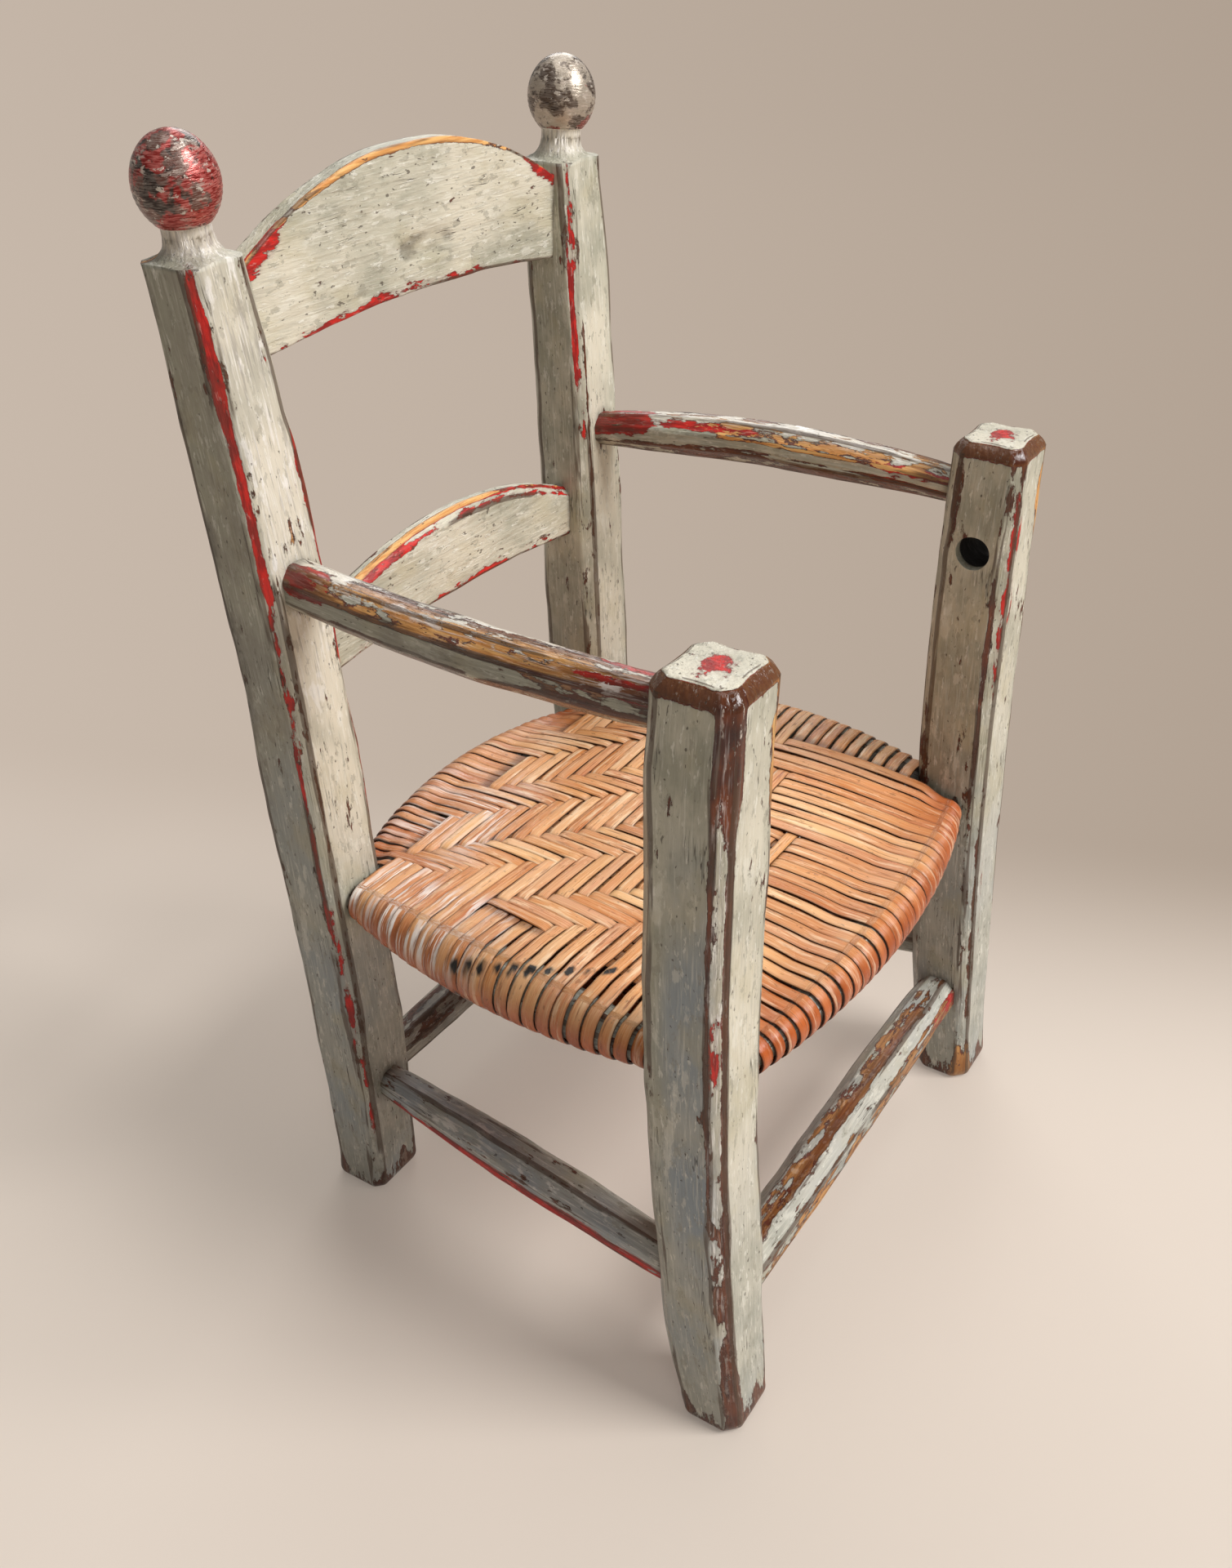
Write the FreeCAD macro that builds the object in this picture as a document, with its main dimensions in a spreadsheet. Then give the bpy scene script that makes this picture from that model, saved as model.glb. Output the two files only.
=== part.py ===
import FreeCAD, Part
import math
import os

import Sketcher
from FreeCAD import Placement, Rotation, Vector

# A child's ladder-back armchair: four hewn eight-sided posts, two arched slats, two spindle arms,
# four rungs and four bowed seat rails, with flat splint strands wrapped round the rails as a seat.
#
# Frame: +X to the right as seen from the front, +Y to the back, +Z up, origin on the floor under
# the middle of the chair. All lengths are millimetres.

# Driving sizes. A "shift" says how far a post's axis has moved from its foot at that height.
SIZES = {
    # Floor plan of the feet
    "front_foot_x": 146.5,
    "front_foot_y": -135.0,
    "back_foot_x": 116.0,
    "back_foot_y": 113.0,
    # Heights up the posts
    "foot_round_height": 7.0,
    "low_height": 70.0,
    "seat_height": 198.0,
    "arm_height": 376.0,
    "front_post_rise": 29.0,
    "shoulder_height": 516.5,
    # How the front posts lean
    "front_low_shift_x": 1.0,
    "front_low_shift_y": 7.0,
    "front_seat_shift_x": 1.0,
    "front_seat_shift_y": 15.0,
    "front_arm_shift_x": -1.5,
    "front_arm_shift_y": 17.0,
    "front_top_shift_x": -2.0,
    "front_top_shift_y": 16.5,
    # How the back posts lean
    "back_low_shift_x": 1.0,
    "back_low_shift_y": -0.5,
    "back_seat_shift_x": 4.0,
    "back_seat_shift_y": 2.5,
    "back_arm_shift_x": 9.0,
    "back_arm_shift_y": 10.5,
    "back_top_shift_x": 16.0,
    "back_top_shift_y": 22.0,
    # Half widths of the posts from side to side, at each level
    "foot_wear": 3.5,
    "front_foot_half": 19.0,
    "front_low_half": 20.8,
    "front_seat_half": 21.6,
    "front_arm_half": 21.3,
    "front_top_half": 21.0,
    "back_foot_half": 19.0,
    "back_low_half": 20.2,
    "back_seat_half": 20.8,
    "back_arm_half": 20.3,
    "back_top_half": 18.4,
    # How much thinner a post is from front to back, on each face, and its hewn corners
    "front_post_planing": 1.3,
    "back_post_planing": 2.2,
    "front_post_corner": 6.2,
    "back_post_corner": 5.2,
    "post_top_bevel": 6.0,
    # Turned finials on the back posts
    "finial_lean": 5.0,
    "finial_base_radius": 16.0,
    "finial_root": 3.0,
    "cove_radius": 10.2,
    "cove_sink": 1.0,
    "neck_radius": 10.3,
    "ball_height": 29.2,
    "ball_half_width": 17.8,
    "ball_half_height": 20.2,
    "ball_cap_radius": 15.8,
    # Rungs between the posts near the floor
    "front_rung_height": 63.0,
    "back_rung_height": 71.0,
    "side_rung_back_height": 74.0,
    "side_rung_front_height": 83.5,
    "front_rung_end_half": 12.1,
    "front_rung_mid_half": 13.3,
    "back_rung_end_half": 10.4,
    "back_rung_mid_half": 12.0,
    "side_rung_back_half": 9.4,
    "side_rung_front_half": 10.4,
    "side_rung_mid_half": 12.3,
    # Arms, whose ends stand a little above or below the arm level
    "arm_back_lift": -0.4,
    "left_arm_front_lift": 7.0,
    "right_arm_front_lift": -1.5,
    "left_arm_crown": -2.8,
    "right_arm_crown": 4.8,
    "arm_bow": 1.8,
    "left_arm_back_half": 11.2,
    "left_arm_front_half": 10.7,
    "left_arm_mid_half": 11.7,
    "right_arm_back_half": 9.8,
    "right_arm_front_half": 8.9,
    "right_arm_mid_half": 11.9,
    # Seat rails, which are bowed outwards and thicker in the middle
    "end_rail_height": 194.0,
    "side_rail_height": 201.5,
    "rail_crown": 3.0,
    "front_rail_inset": 1.0,
    "front_rail_bow": 14.0,
    "back_rail_inset": 2.5,
    "back_rail_bow": 11.5,
    "end_rail_end_half": 6.6,
    "end_rail_mid_half": 12.5,
    "side_rail_front_inset": 9.5,
    "side_rail_back_inset": -1.0,
    "side_rail_bow": 7.5,
    "side_rail_front_half": 6.4,
    "side_rail_back_half": 8.3,
    "side_rail_mid_half": 14.8,
    # Round tenons and their sockets
    "rung_tenon_radius": 7.5,
    "arm_tenon_radius": 7.0,
    "rail_tenon_radius": 6.0,
    "tenon_length": 12.0,
    "tenon_clearance": 0.15,
    "shoulder_gap": 0.25,
    # Slats, let into the inner faces of the back posts. The crest's lower edge drops below the
    # shoulder, and the lower slat's below the arm level.
    "slat_thickness": 11.0,
    "slat_tenon_length": 11.0,
    "slat_edge_bevel": 1.2,
    "crest_post_half": 18.9,
    "crest_post_shift_x": 15.0,
    "crest_post_shift_y": 19.0,
    "crest_drop": 48.0,
    "crest_end_tall": 42.8,
    "crest_top_rise": 32.0,
    "crest_bottom_rise": 7.0,
    "lower_post_half": 20.5,
    "lower_post_shift_x": 7.6,
    "lower_post_shift_y": 8.0,
    "lower_drop": 60.0,
    "lower_end_tall": 29.0,
    "lower_top_rise": 21.5,
    "lower_bottom_rise": 6.0,
    "lower_top_bevel": 4.5,
    # Guard bar holes through the right front post and part way into the left one
    "guard_bar_drop": 27.5,
    "guard_bar_radius": 9.0,
    "guard_bar_socket_depth": 24.0,
    # Splint strands round the rails
    "strand_thickness": 1.2,
    "strand_clearance": 0.25,
    "warp_count": 30,
    "warp_front_width": 7.0,
    "warp_back_width": 5.6,
    "weft_count": 26,
    "weft_width": 6.6,
    "strand_post_gap": 1.5,
    "warp_rise": 3.0,
    "weft_crown": 4.0,
    "weft_sag": 5.0,
}

SIDES = {"left": -1, "right": 1}
# A cutter starts this far outside the face that it enters
RUN_OUT = 4.0
# Flat-to-corner cut of a regular octagon, as a share of its half width
OCTAGON_CUT = 2 - math.sqrt(2)
# The level that each slat hangs from
SLATS = {"crest": "shoulder_height", "lower": "arm_height"}
# Where the sections of a spindle stand along its length
STATIONS = (0.0, 0.5, 1.0)

doc = FreeCAD.newDocument("armchair")


def write_sizes():
    """Put every driving size in the sheet, with its name as the alias of its cell."""
    sheet = doc.addObject("Spreadsheet::Sheet", "Sizes")
    for row, (name, value) in enumerate(SIZES.items(), start=1):
        sheet.set(f"A{row}", name)
        sheet.set(f"B{row}", str(value))
        sheet.setAlias(f"B{row}", name)
    doc.recompute()


def size(name):
    """The expression that reads one driving size from the sheet."""
    return f"Sizes.{name}"


def attach(feature, body, role, base, turn=None, turn_axis=Vector(0, 1, 0)):
    """Lay a sketch or a primitive on one of its body's own origin planes.

    base holds three expressions along the plane's own axes, and turn is an angle about turn_axis.
    """
    plane = next(item for item in body.Origin.OriginFeatures if item.Role == role)
    feature.AttachmentSupport = (plane, [""])
    feature.MapMode = "FlatFace"
    if turn is not None:
        feature.AttachmentOffset = Placement(Vector(), Rotation(turn_axis, 1))
        feature.setExpression("AttachmentOffset.Rotation.Angle", turn)
    for axis, expression in zip("xyz", base):
        feature.setExpression(f"AttachmentOffset.Base.{axis}", expression)


def distance(sketch, kind, start, end, expression):
    """Constrain a horizontal or vertical distance between two points of a sketch to an expression.

    A point is (geometry, end), and the sketch's own origin is (-1, 1).
    """
    first = sketch.getPoint(*start)
    last = sketch.getPoint(*end)
    gap = last.x - first.x if kind == "DistanceX" else last.y - first.y
    index = sketch.addConstraint(Sketcher.Constraint(kind, *start, *end, gap))
    sketch.setExpression(f"Constraints[{index}]", expression)


def close_outline(sketch, count):
    """Join the last point of each piece of an outline to the first point of the next."""
    for index in range(count):
        sketch.addConstraint(Sketcher.Constraint("Coincident", index, 2, (index + 1) % count, 1))


def octagon(body, name, role, base, half_x, half_y, corner):
    """A sketch of a rectangle with four equal cut corners, centred on its own origin."""
    sketch = body.newObject("Sketcher::SketchObject", name)
    attach(sketch, body, role, base)
    wide, deep, cut = 20.0, 19.0, 6.0
    points = [
        Vector(wide, cut - deep, 0), Vector(wide, deep - cut, 0),
        Vector(wide - cut, deep, 0), Vector(cut - wide, deep, 0),
        Vector(-wide, deep - cut, 0), Vector(-wide, cut - deep, 0),
        Vector(cut - wide, -deep, 0), Vector(wide - cut, -deep, 0),
    ]
    for index, point in enumerate(points):
        sketch.addGeometry(Part.LineSegment(point, points[(index + 1) % 8]))
    close_outline(sketch, 8)
    for index, kind in ((0, "Vertical"), (2, "Horizontal"), (4, "Vertical"), (6, "Horizontal")):
        sketch.addConstraint(Sketcher.Constraint(kind, index))
    origin = (-1, 1)
    distance(sketch, "DistanceX", origin, (0, 1), half_x)
    distance(sketch, "DistanceX", (4, 1), origin, half_x)
    distance(sketch, "DistanceY", origin, (2, 1), half_y)
    distance(sketch, "DistanceY", (6, 1), origin, half_y)
    for low, high in (((1, 2), (1, 1)), ((4, 1), (3, 1)), ((5, 1), (6, 1)), ((7, 1), (0, 1))):
        distance(sketch, "DistanceX", low, high, corner)
    for low, high in (((1, 1), (2, 1)), ((4, 1), (3, 1)), ((6, 1), (5, 1)), ((7, 1), (0, 1))):
        distance(sketch, "DistanceY", low, high, corner)
    return sketch


def circle(body, name, role, base, radius):
    """A sketch of one circle, centred on its own origin."""
    sketch = body.newObject("Sketcher::SketchObject", name)
    attach(sketch, body, role, base)
    sketch.addGeometry(Part.Circle(Vector(), Vector(0, 0, 1), 5))
    sketch.addConstraint(Sketcher.Constraint("Coincident", 0, 3, -1, 1))
    index = sketch.addConstraint(Sketcher.Constraint("Radius", 0, 5))
    sketch.setExpression(f"Constraints[{index}]", radius)
    return sketch


def loft(body, name, sketches, ruled=False):
    """Fill a body through a row of sketches, smoothly or with straight sides."""
    feature = body.newObject("PartDesign::AdditiveLoft", name)
    feature.Profile = sketches[0]
    feature.Sections = sketches[1:]
    feature.Ruled = ruled
    return feature


def new_body(label, x, y, z="0"):
    """A body with its own label, placed by expressions."""
    body = doc.addObject("PartDesign::Body", label)
    body.Label = label
    for axis, expression in zip("xyz", (x, y, z)):
        body.setExpression(f"Placement.Base.{axis}", expression)
    return body


# Posts

def post_axis(row, level, sign):
    """Expressions for where a post's axis stands at one level, from the middle of the chair."""
    if level == "foot":
        return f"{sign} * {size(row + '_foot_x')}", size(f"{row}_foot_y")
    out = f"({size(row + '_foot_x')} + {size(f'{row}_{level}_shift_x')})"
    return f"{sign} * {out}", f"({size(row + '_foot_y')} + {size(f'{row}_{level}_shift_y')})"


def post_sections(body, row, sign, levels):
    """Eight-sided sections up a post, each parallel to the floor and centred on the post's axis."""
    sections = []
    for level, height, half in levels:
        shift_x = "0" if level == "foot" else f"{sign} * {size(f'{row}_{level}_shift_x')}"
        shift_y = "0" if level == "foot" else size(f"{row}_{level}_shift_y")
        depth = f"{half} - {size(row + '_post_planing')}"
        name = f"{body.Label}_section_{len(sections)}"
        corner = size(f"{row}_post_corner")
        sections.append(octagon(body, name, "XY_Plane", (shift_x, shift_y, height), half, depth, corner))
    return sections


def hewn_shaft(body, row, sign, top_height):
    """The post from the floor to its top section: a worn foot, then one smooth run."""
    foot_half = size(f"{row}_foot_half")
    levels = [
        ("foot", size("foot_round_height"), foot_half),
        ("low", size("low_height"), size(f"{row}_low_half")),
        ("seat", size("seat_height"), size(f"{row}_seat_half")),
        ("arm", size("arm_height"), size(f"{row}_arm_half")),
        ("top", top_height, size(f"{row}_top_half")),
    ]
    sole_half = f"{foot_half} - {size('foot_wear')}"
    sole = post_sections(body, row, sign, [("foot", "0", sole_half)])
    upper = post_sections(body, row, sign, levels)
    loft(body, f"{body.Label}_shaft", upper)
    ankle = octagon(body, f"{body.Label}_ankle", "XY_Plane", ("0", "0", size("foot_round_height")),
                    foot_half, f"{foot_half} - {size(row + '_post_planing')}",
                    size(f"{row}_post_corner"))
    loft(body, f"{body.Label}_foot", sole + [ankle], ruled=True)


def socket(body, row, sign, name, mouth, height, heading, radius, depth):
    """A round blind hole in a post.

    mouth is the middle of the hole's mouth from the middle of the chair, and heading is the
    direction in plan in which the hole goes into the wood.
    """
    foot = post_axis(row, "foot", sign)
    hole = body.newObject("PartDesign::SubtractiveCylinder", name)
    along = f"({mouth[0]}) - ({foot[0]}) - {RUN_OUT} * cos({heading})"
    across = f"({mouth[1]}) - ({foot[1]}) - {RUN_OUT} * sin({heading})"
    attach(hole, body, "YZ_Plane", (across, height, along), turn=heading)
    hole.setExpression("Radius", radius)
    hole.setExpression("Height", f"{depth} + {RUN_OUT}")


def slot(body, row, sign, name, inner, outer, middle, low, high):
    """A square mortise in a post's inner face, from its mouth at inner to its end at outer."""
    foot = post_axis(row, "foot", sign)
    start = f"{inner} - {RUN_OUT}" if sign > 0 else f"-({outer})"
    thickness = f"({size('slat_thickness')} + 2 * {size('tenon_clearance')})"
    mortise = body.newObject("PartDesign::SubtractiveBox", name)
    base = (f"{start} - ({foot[0]})", f"{middle} - {thickness} / 2 - ({foot[1]})",
            f"{low} - {size('tenon_clearance')}")
    attach(mortise, body, "XY_Plane", base)
    mortise.setExpression("Length", f"({outer}) - ({inner}) + {RUN_OUT}")
    mortise.setExpression("Width", thickness)
    mortise.setExpression("Height", f"{high} - ({low}) + 2 * {size('tenon_clearance')}")


# Pieces that run from a back post to a front post

def side_run(level, sign, front_inset="0", back_inset="0"):
    """Where a side piece's two shoulders stand, its length between them and its heading in plan.

    Each shoulder stands a small gap clear of the post's face that it meets.
    """
    back_x, back_y = post_axis("back", level, 1)
    front_x, front_y = post_axis("front", level, 1)
    gap = size("shoulder_gap")
    back_depth = f"({size(f'back_{level}_half')} - {size('back_post_planing')})"
    front_depth = f"({size(f'front_{level}_half')} - {size('front_post_planing')})"
    start = (f"{sign} * (({back_x}) - ({back_inset}))", f"({back_y} - {back_depth} - {gap})")
    end = (f"{sign} * (({front_x}) - ({front_inset}))", f"({front_y} + {front_depth} + {gap})")
    run = f"({end[0]} - {start[0]})", f"({end[1]} - {start[1]})"
    return {
        "start": start, "end": end, "length": f"hypot({run[0]}; {run[1]})",
        "heading": f"atan2({run[1]}; {run[0]})",
    }


def cross_run(row, level, sign=1, inset="0"):
    """The same for a piece that runs across the chair from the left post to the right one."""
    axis_x, axis_y = post_axis(row, level, 1)
    inner = f"(({axis_x}) - {size(f'{row}_{level}_half')} - {size('shoulder_gap')})"
    middle = f"({axis_y} + ({inset}))"
    return {
        "start": (f"-{inner}", middle), "end": (inner, middle), "length": f"2 * {inner}",
        "heading": "0 deg",
    }


def spindle(label, run, height, rise, crown, bow, ends, middle, tenon):
    """A long eight-sided piece that swells in the middle, with a round tenon on each end.

    Its own X axis runs along it. At share u of its length it stands rise * u + crown * 4u(1 - u)
    above its start and bow * 4u(1 - u) to its own left, and its half thickness follows a smooth
    curve through the ends and the middle.
    """
    body = new_body(label, run["start"][0], run["start"][1], height)
    body.Placement.Rotation = Rotation(Vector(0, 0, 1), 1)
    body.setExpression("Placement.Rotation.Angle", run["heading"])
    sections = []
    for index, share in enumerate(STATIONS):
        swell = 4 * share * (1 - share)
        half = (f"(({ends[0]}) * {1 - share} + ({ends[1]}) * {share}) * {1 - swell}"
                f" + ({middle}) * {swell}")
        base = (f"({bow}) * {swell}", f"({rise}) * {share} + ({crown}) * {swell}",
                f"({run['length']}) * {share}")
        name = f"{label}_section_{index}"
        sections.append(octagon(body, name, "YZ_Plane", base, half, half, f"({half}) * {OCTAGON_CUT}"))
    loft(body, f"{label}_shaft", sections)
    for name, lift, along, backwards in (
            ("start", "0", "0", True), ("end", rise, run["length"], False)):
        outline = circle(body, f"{label}_{name}_circle", "YZ_Plane", ("0", lift, along), tenon)
        pad = body.newObject("PartDesign::Pad", f"{label}_{name}_tenon")
        pad.Profile = outline
        pad.setExpression("Length", size("tenon_length"))
        pad.Reversed = backwards
    return body


def rung_runs():
    """The runs of the four rungs, by name, with their heights and tenon radius."""
    runs = {}
    for side, sign in SIDES.items():
        runs[f"{side}_rung"] = dict(run=side_run("low", sign), back=size("side_rung_back_height"),
                                    front=size("side_rung_front_height"))
    runs["front_rung"] = dict(run=cross_run("front", "low"), height=size("front_rung_height"))
    runs["back_rung"] = dict(run=cross_run("back", "low"), height=size("back_rung_height"))
    return runs


RUNGS = rung_runs()
ARMS = {f"{side}_arm": dict(run=side_run("arm", sign),
                            back=f"({size('arm_height')} + {size('arm_back_lift')})",
                            front=f"({size('arm_height')} + {size(side + '_arm_front_lift')})")
        for side, sign in SIDES.items()}
FRONT_POST_TOP = f"({size('arm_height')} + {size('front_post_rise')})"
SIDE_RAILS = {f"{side}_seat_rail": dict(
    run=side_run("seat", sign, size("side_rail_front_inset"), size("side_rail_back_inset")))
    for side, sign in SIDES.items()}
FRONT_RAIL = cross_run("front", "seat", inset=f"-{size('front_rail_inset')}")
BACK_RAIL = cross_run("back", "seat", inset=f"-{size('back_rail_inset')}")


def make_rungs():
    """Four eight-sided rungs, the side ones set higher than the front and back ones."""
    for name, item in RUNGS.items():
        row = name.split("_")[0]
        if row in SIDES:
            ends = size("side_rung_back_half"), size("side_rung_front_half")
            spindle(name, item["run"], item["back"], f"{item['front']} - {item['back']}", "0", "0",
                    ends, size("side_rung_mid_half"), size("rung_tenon_radius"))
        else:
            ends = size(f"{row}_rung_end_half"), size(f"{row}_rung_end_half")
            spindle(name, item["run"], item["height"], "0", "0", "0", ends,
                    size(f"{row}_rung_mid_half"), size("rung_tenon_radius"))


def make_arms():
    """Two eight-sided arms from the back posts to the front posts, no two quite alike."""
    for side, sign in SIDES.items():
        name = f"{side}_arm"
        item = ARMS[name]
        spindle(name, item["run"], item["back"], f"{item['front']} - {item['back']}",
                size(f"{name}_crown"), f"{sign} * {size('arm_bow')}",
                (size(f"{name}_back_half"), size(f"{name}_front_half")),
                size(f"{name}_mid_half"), size("arm_tenon_radius"))


def make_rails():
    """Four shaved seat rails, bowed outwards, with the side ones set above the other two."""
    for side, sign in SIDES.items():
        name = f"{side}_seat_rail"
        ends = size("side_rail_back_half"), size("side_rail_front_half")
        spindle(name, SIDE_RAILS[name]["run"], size("side_rail_height"), "0", size("rail_crown"),
                f"{sign} * {size('side_rail_bow')}", ends, size("side_rail_mid_half"),
                size("rail_tenon_radius"))
    for name, run, bow in (("front_seat_rail", FRONT_RAIL, f"-{size('front_rail_bow')}"),
                           ("back_seat_rail", BACK_RAIL, size("back_rail_bow"))):
        ends = size("end_rail_end_half"), size("end_rail_end_half")
        spindle(name, run, size("end_rail_height"), "0", size("rail_crown"), bow, ends,
                size("end_rail_mid_half"), size("rail_tenon_radius"))


# Slats

def slat_frame(name):
    """Expressions for a slat's half length, its middle plane, the post's inner face and its ends."""
    inner = (f"({size('back_foot_x')} + {size(name + '_post_shift_x')}"
             f" - {size(name + '_post_half')})")
    middle = f"({size('back_foot_y')} + {size(name + '_post_shift_y')})"
    bottom = f"({size(SLATS[name])} - {size(name + '_drop')})"
    return {"inner": inner, "half_length": f"({inner} + {size('slat_tenon_length')})",
            "middle": middle, "bottom": bottom, "top": f"({bottom} + {size(name + '_end_tall')})"}


def make_slat(name, label):
    """A board arched between the posts, with its full thickness let into them at its ends."""
    frame = slat_frame(name)
    body = new_body(label, "0", frame["middle"])
    outline = body.newObject("Sketcher::SketchObject", f"{label}_outline")
    attach(outline, body, "XZ_Plane", ("0", "0", "0"))
    half, inner = 120.0, 108.0
    low = SIZES[SLATS[name]] - SIZES[f"{name}_drop"]
    high = low + SIZES[f"{name}_end_tall"]
    corners = [Vector(x, z, 0) for x, z in (
        (-half, high), (-half, low), (-inner, low), (inner, low),
        (half, low), (half, high), (inner, high), (-inner, high))]
    apexes = {2: low + SIZES[f"{name}_bottom_rise"], 6: high + SIZES[f"{name}_top_rise"]}
    for index, start in enumerate(corners):
        end = corners[(index + 1) % 8]
        if index in apexes:
            outline.addGeometry(Part.Arc(start, Vector(0, apexes[index], 0), end))
        else:
            outline.addGeometry(Part.LineSegment(start, end))
    # An arc always runs anticlockwise, so the bottom one starts at its right end
    tail, head = {2: 1}, {2: 2}
    for index in range(8):
        after = (index + 1) % 8
        outline.addConstraint(Sketcher.Constraint(
            "Coincident", index, tail.get(index, 2), after, head.get(after, 1)))
    for index in (0, 4):
        outline.addConstraint(Sketcher.Constraint("Vertical", index))
    for index in (1, 3, 5, 7):
        outline.addConstraint(Sketcher.Constraint("Horizontal", index))
    origin = (-1, 1)
    distance(outline, "DistanceX", (0, 1), origin, frame["half_length"])
    distance(outline, "DistanceX", origin, (4, 1), frame["half_length"])
    for point in ((1, 2), (7, 1)):
        distance(outline, "DistanceX", point, origin, frame["inner"])
    for point in ((3, 1), (5, 2)):
        distance(outline, "DistanceX", origin, point, frame["inner"])
    for point, level in (((0, 2), "bottom"), ((4, 1), "bottom"), ((0, 1), "top"), ((4, 2), "top")):
        distance(outline, "DistanceY", origin, point, frame[level])
    # Each arc rises by its named size in the middle, which fixes its radius
    run = frame["inner"]
    for arc, sag in ((2, size(f"{name}_bottom_rise")), (6, size(f"{name}_top_rise"))):
        radius = outline.Geometry[arc].Radius
        index = outline.addConstraint(Sketcher.Constraint("Radius", arc, radius))
        outline.setExpression(f"Constraints[{index}]", f"({run} * {run} + {sag} * {sag}) / (2 * {sag})")
    pad = body.newObject("PartDesign::Pad", f"{label}_board")
    pad.Profile = outline
    pad.Midplane = True
    pad.setExpression("Length", size("slat_thickness"))
    return body


def cut_edges(body, name, chooser, amount):
    """Bevel the edges of a body that the chooser picks by their middle point."""
    doc.recompute()
    base = body.Tip
    names = [f"Edge{index}" for index, edge in enumerate(base.Shape.Edges, start=1)
             if chooser(edge.valueAt((edge.FirstParameter + edge.LastParameter) / 2), edge)]
    feature = body.newObject("PartDesign::Chamfer", name)
    feature.Base = (base, names)
    feature.setExpression("Size", amount)


def make_slats():
    """The tall crest slat under the finials and the narrower slat at arm level."""
    crest = make_slat("crest", "crest_slat")
    lower = make_slat("lower", "lower_slat")
    # Both long edges of a board are an arc on its front face and one on its back face
    top = SIZES["arm_height"] - SIZES["lower_drop"] + SIZES["lower_end_tall"]
    cut_edges(lower, "lower_slat_top_bevel",
              lambda point, edge: edge.Curve.TypeId == "Part::GeomCircle" and point.y < 0
              and point.z > top, size("lower_top_bevel"))
    cut_edges(crest, "crest_slat_edge_bevel",
              lambda point, edge: edge.Curve.TypeId == "Part::GeomCircle",
              size("slat_edge_bevel"))


# Whole posts

def side_sockets(body, row, sign, side):
    """The round holes in a post's back or front face that hold its rung, rail and arm."""
    depth = f"({size('tenon_length')} + 2 * {size('shoulder_gap')})"
    heights = {"back": "back", "front": "front"}[row]
    pieces = (
        ("rung", RUNGS[f"{side}_rung"]["run"], RUNGS[f"{side}_rung"][heights], "rung"),
        ("rail", SIDE_RAILS[f"{side}_seat_rail"]["run"], size("side_rail_height"), "rail"),
        ("arm", ARMS[f"{side}_arm"]["run"], ARMS[f"{side}_arm"][heights], "arm"),
    )
    for name, run, height, kind in pieces:
        mouth = run["start"] if row == "back" else run["end"]
        heading = f"{run['heading']} + 180 deg" if row == "back" else run["heading"]
        radius = f"{size(kind + '_tenon_radius')} + {size('tenon_clearance')}"
        socket(body, row, sign, f"{body.Label}_{name}_socket", mouth, height, heading, radius, depth)


def cross_sockets(body, row, sign):
    """The round holes in a post's inner face that hold the cross rung and the cross rail."""
    depth = f"({size('tenon_length')} + 2 * {size('shoulder_gap')})"
    rail = FRONT_RAIL if row == "front" else BACK_RAIL
    pieces = (
        ("cross_rung", RUNGS[f"{row}_rung"]["run"], size(f"{row}_rung_height"), "rung"),
        ("cross_rail", rail, size("end_rail_height"), "rail"),
    )
    for name, run, height, kind in pieces:
        mouth = run["end"] if sign > 0 else run["start"]
        radius = f"{size(kind + '_tenon_radius')} + {size('tenon_clearance')}"
        heading = "0 deg" if sign > 0 else "180 deg"
        socket(body, row, sign, f"{body.Label}_{name}_socket", mouth, height, heading, radius, depth)


def make_front_post(side, sign):
    """A front post with a bevelled top, its sockets and its hole for the guard bar."""
    foot = post_axis("front", "foot", sign)
    body = new_body(f"front_post_{side}", foot[0], foot[1])
    bevel = size("post_top_bevel")
    neck = f"{FRONT_POST_TOP} - {bevel}"
    hewn_shaft(body, "front", sign, neck)
    halves = size("front_top_half"), f"{size('front_top_half')} - {bevel}"
    caps = []
    for index, (height, half) in enumerate(zip((neck, FRONT_POST_TOP), halves)):
        base = (f"{sign} * {size('front_top_shift_x')}", size("front_top_shift_y"), height)
        caps.append(octagon(body, f"{body.Label}_cap_{index}", "XY_Plane", base, half,
                            f"{half} - {size('front_post_planing')}", size("front_post_corner")))
    loft(body, f"{body.Label}_cap", caps, ruled=True)
    side_sockets(body, "front", sign, side)
    cross_sockets(body, "front", sign)
    axis = post_axis("front", "arm", sign)
    mouth = (f"{axis[0]} - {sign} * {size('front_arm_half')}", axis[1])
    through = f"2 * {size('front_arm_half')} + {RUN_OUT}"
    depth = through if sign > 0 else size("guard_bar_socket_depth")
    height = f"{size('arm_height')} - {size('guard_bar_drop')}"
    heading = "0 deg" if sign > 0 else "180 deg"
    socket(body, "front", sign, f"{body.Label}_guard_bar_hole", mouth, height, heading,
           size("guard_bar_radius"), depth)
    return body


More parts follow.
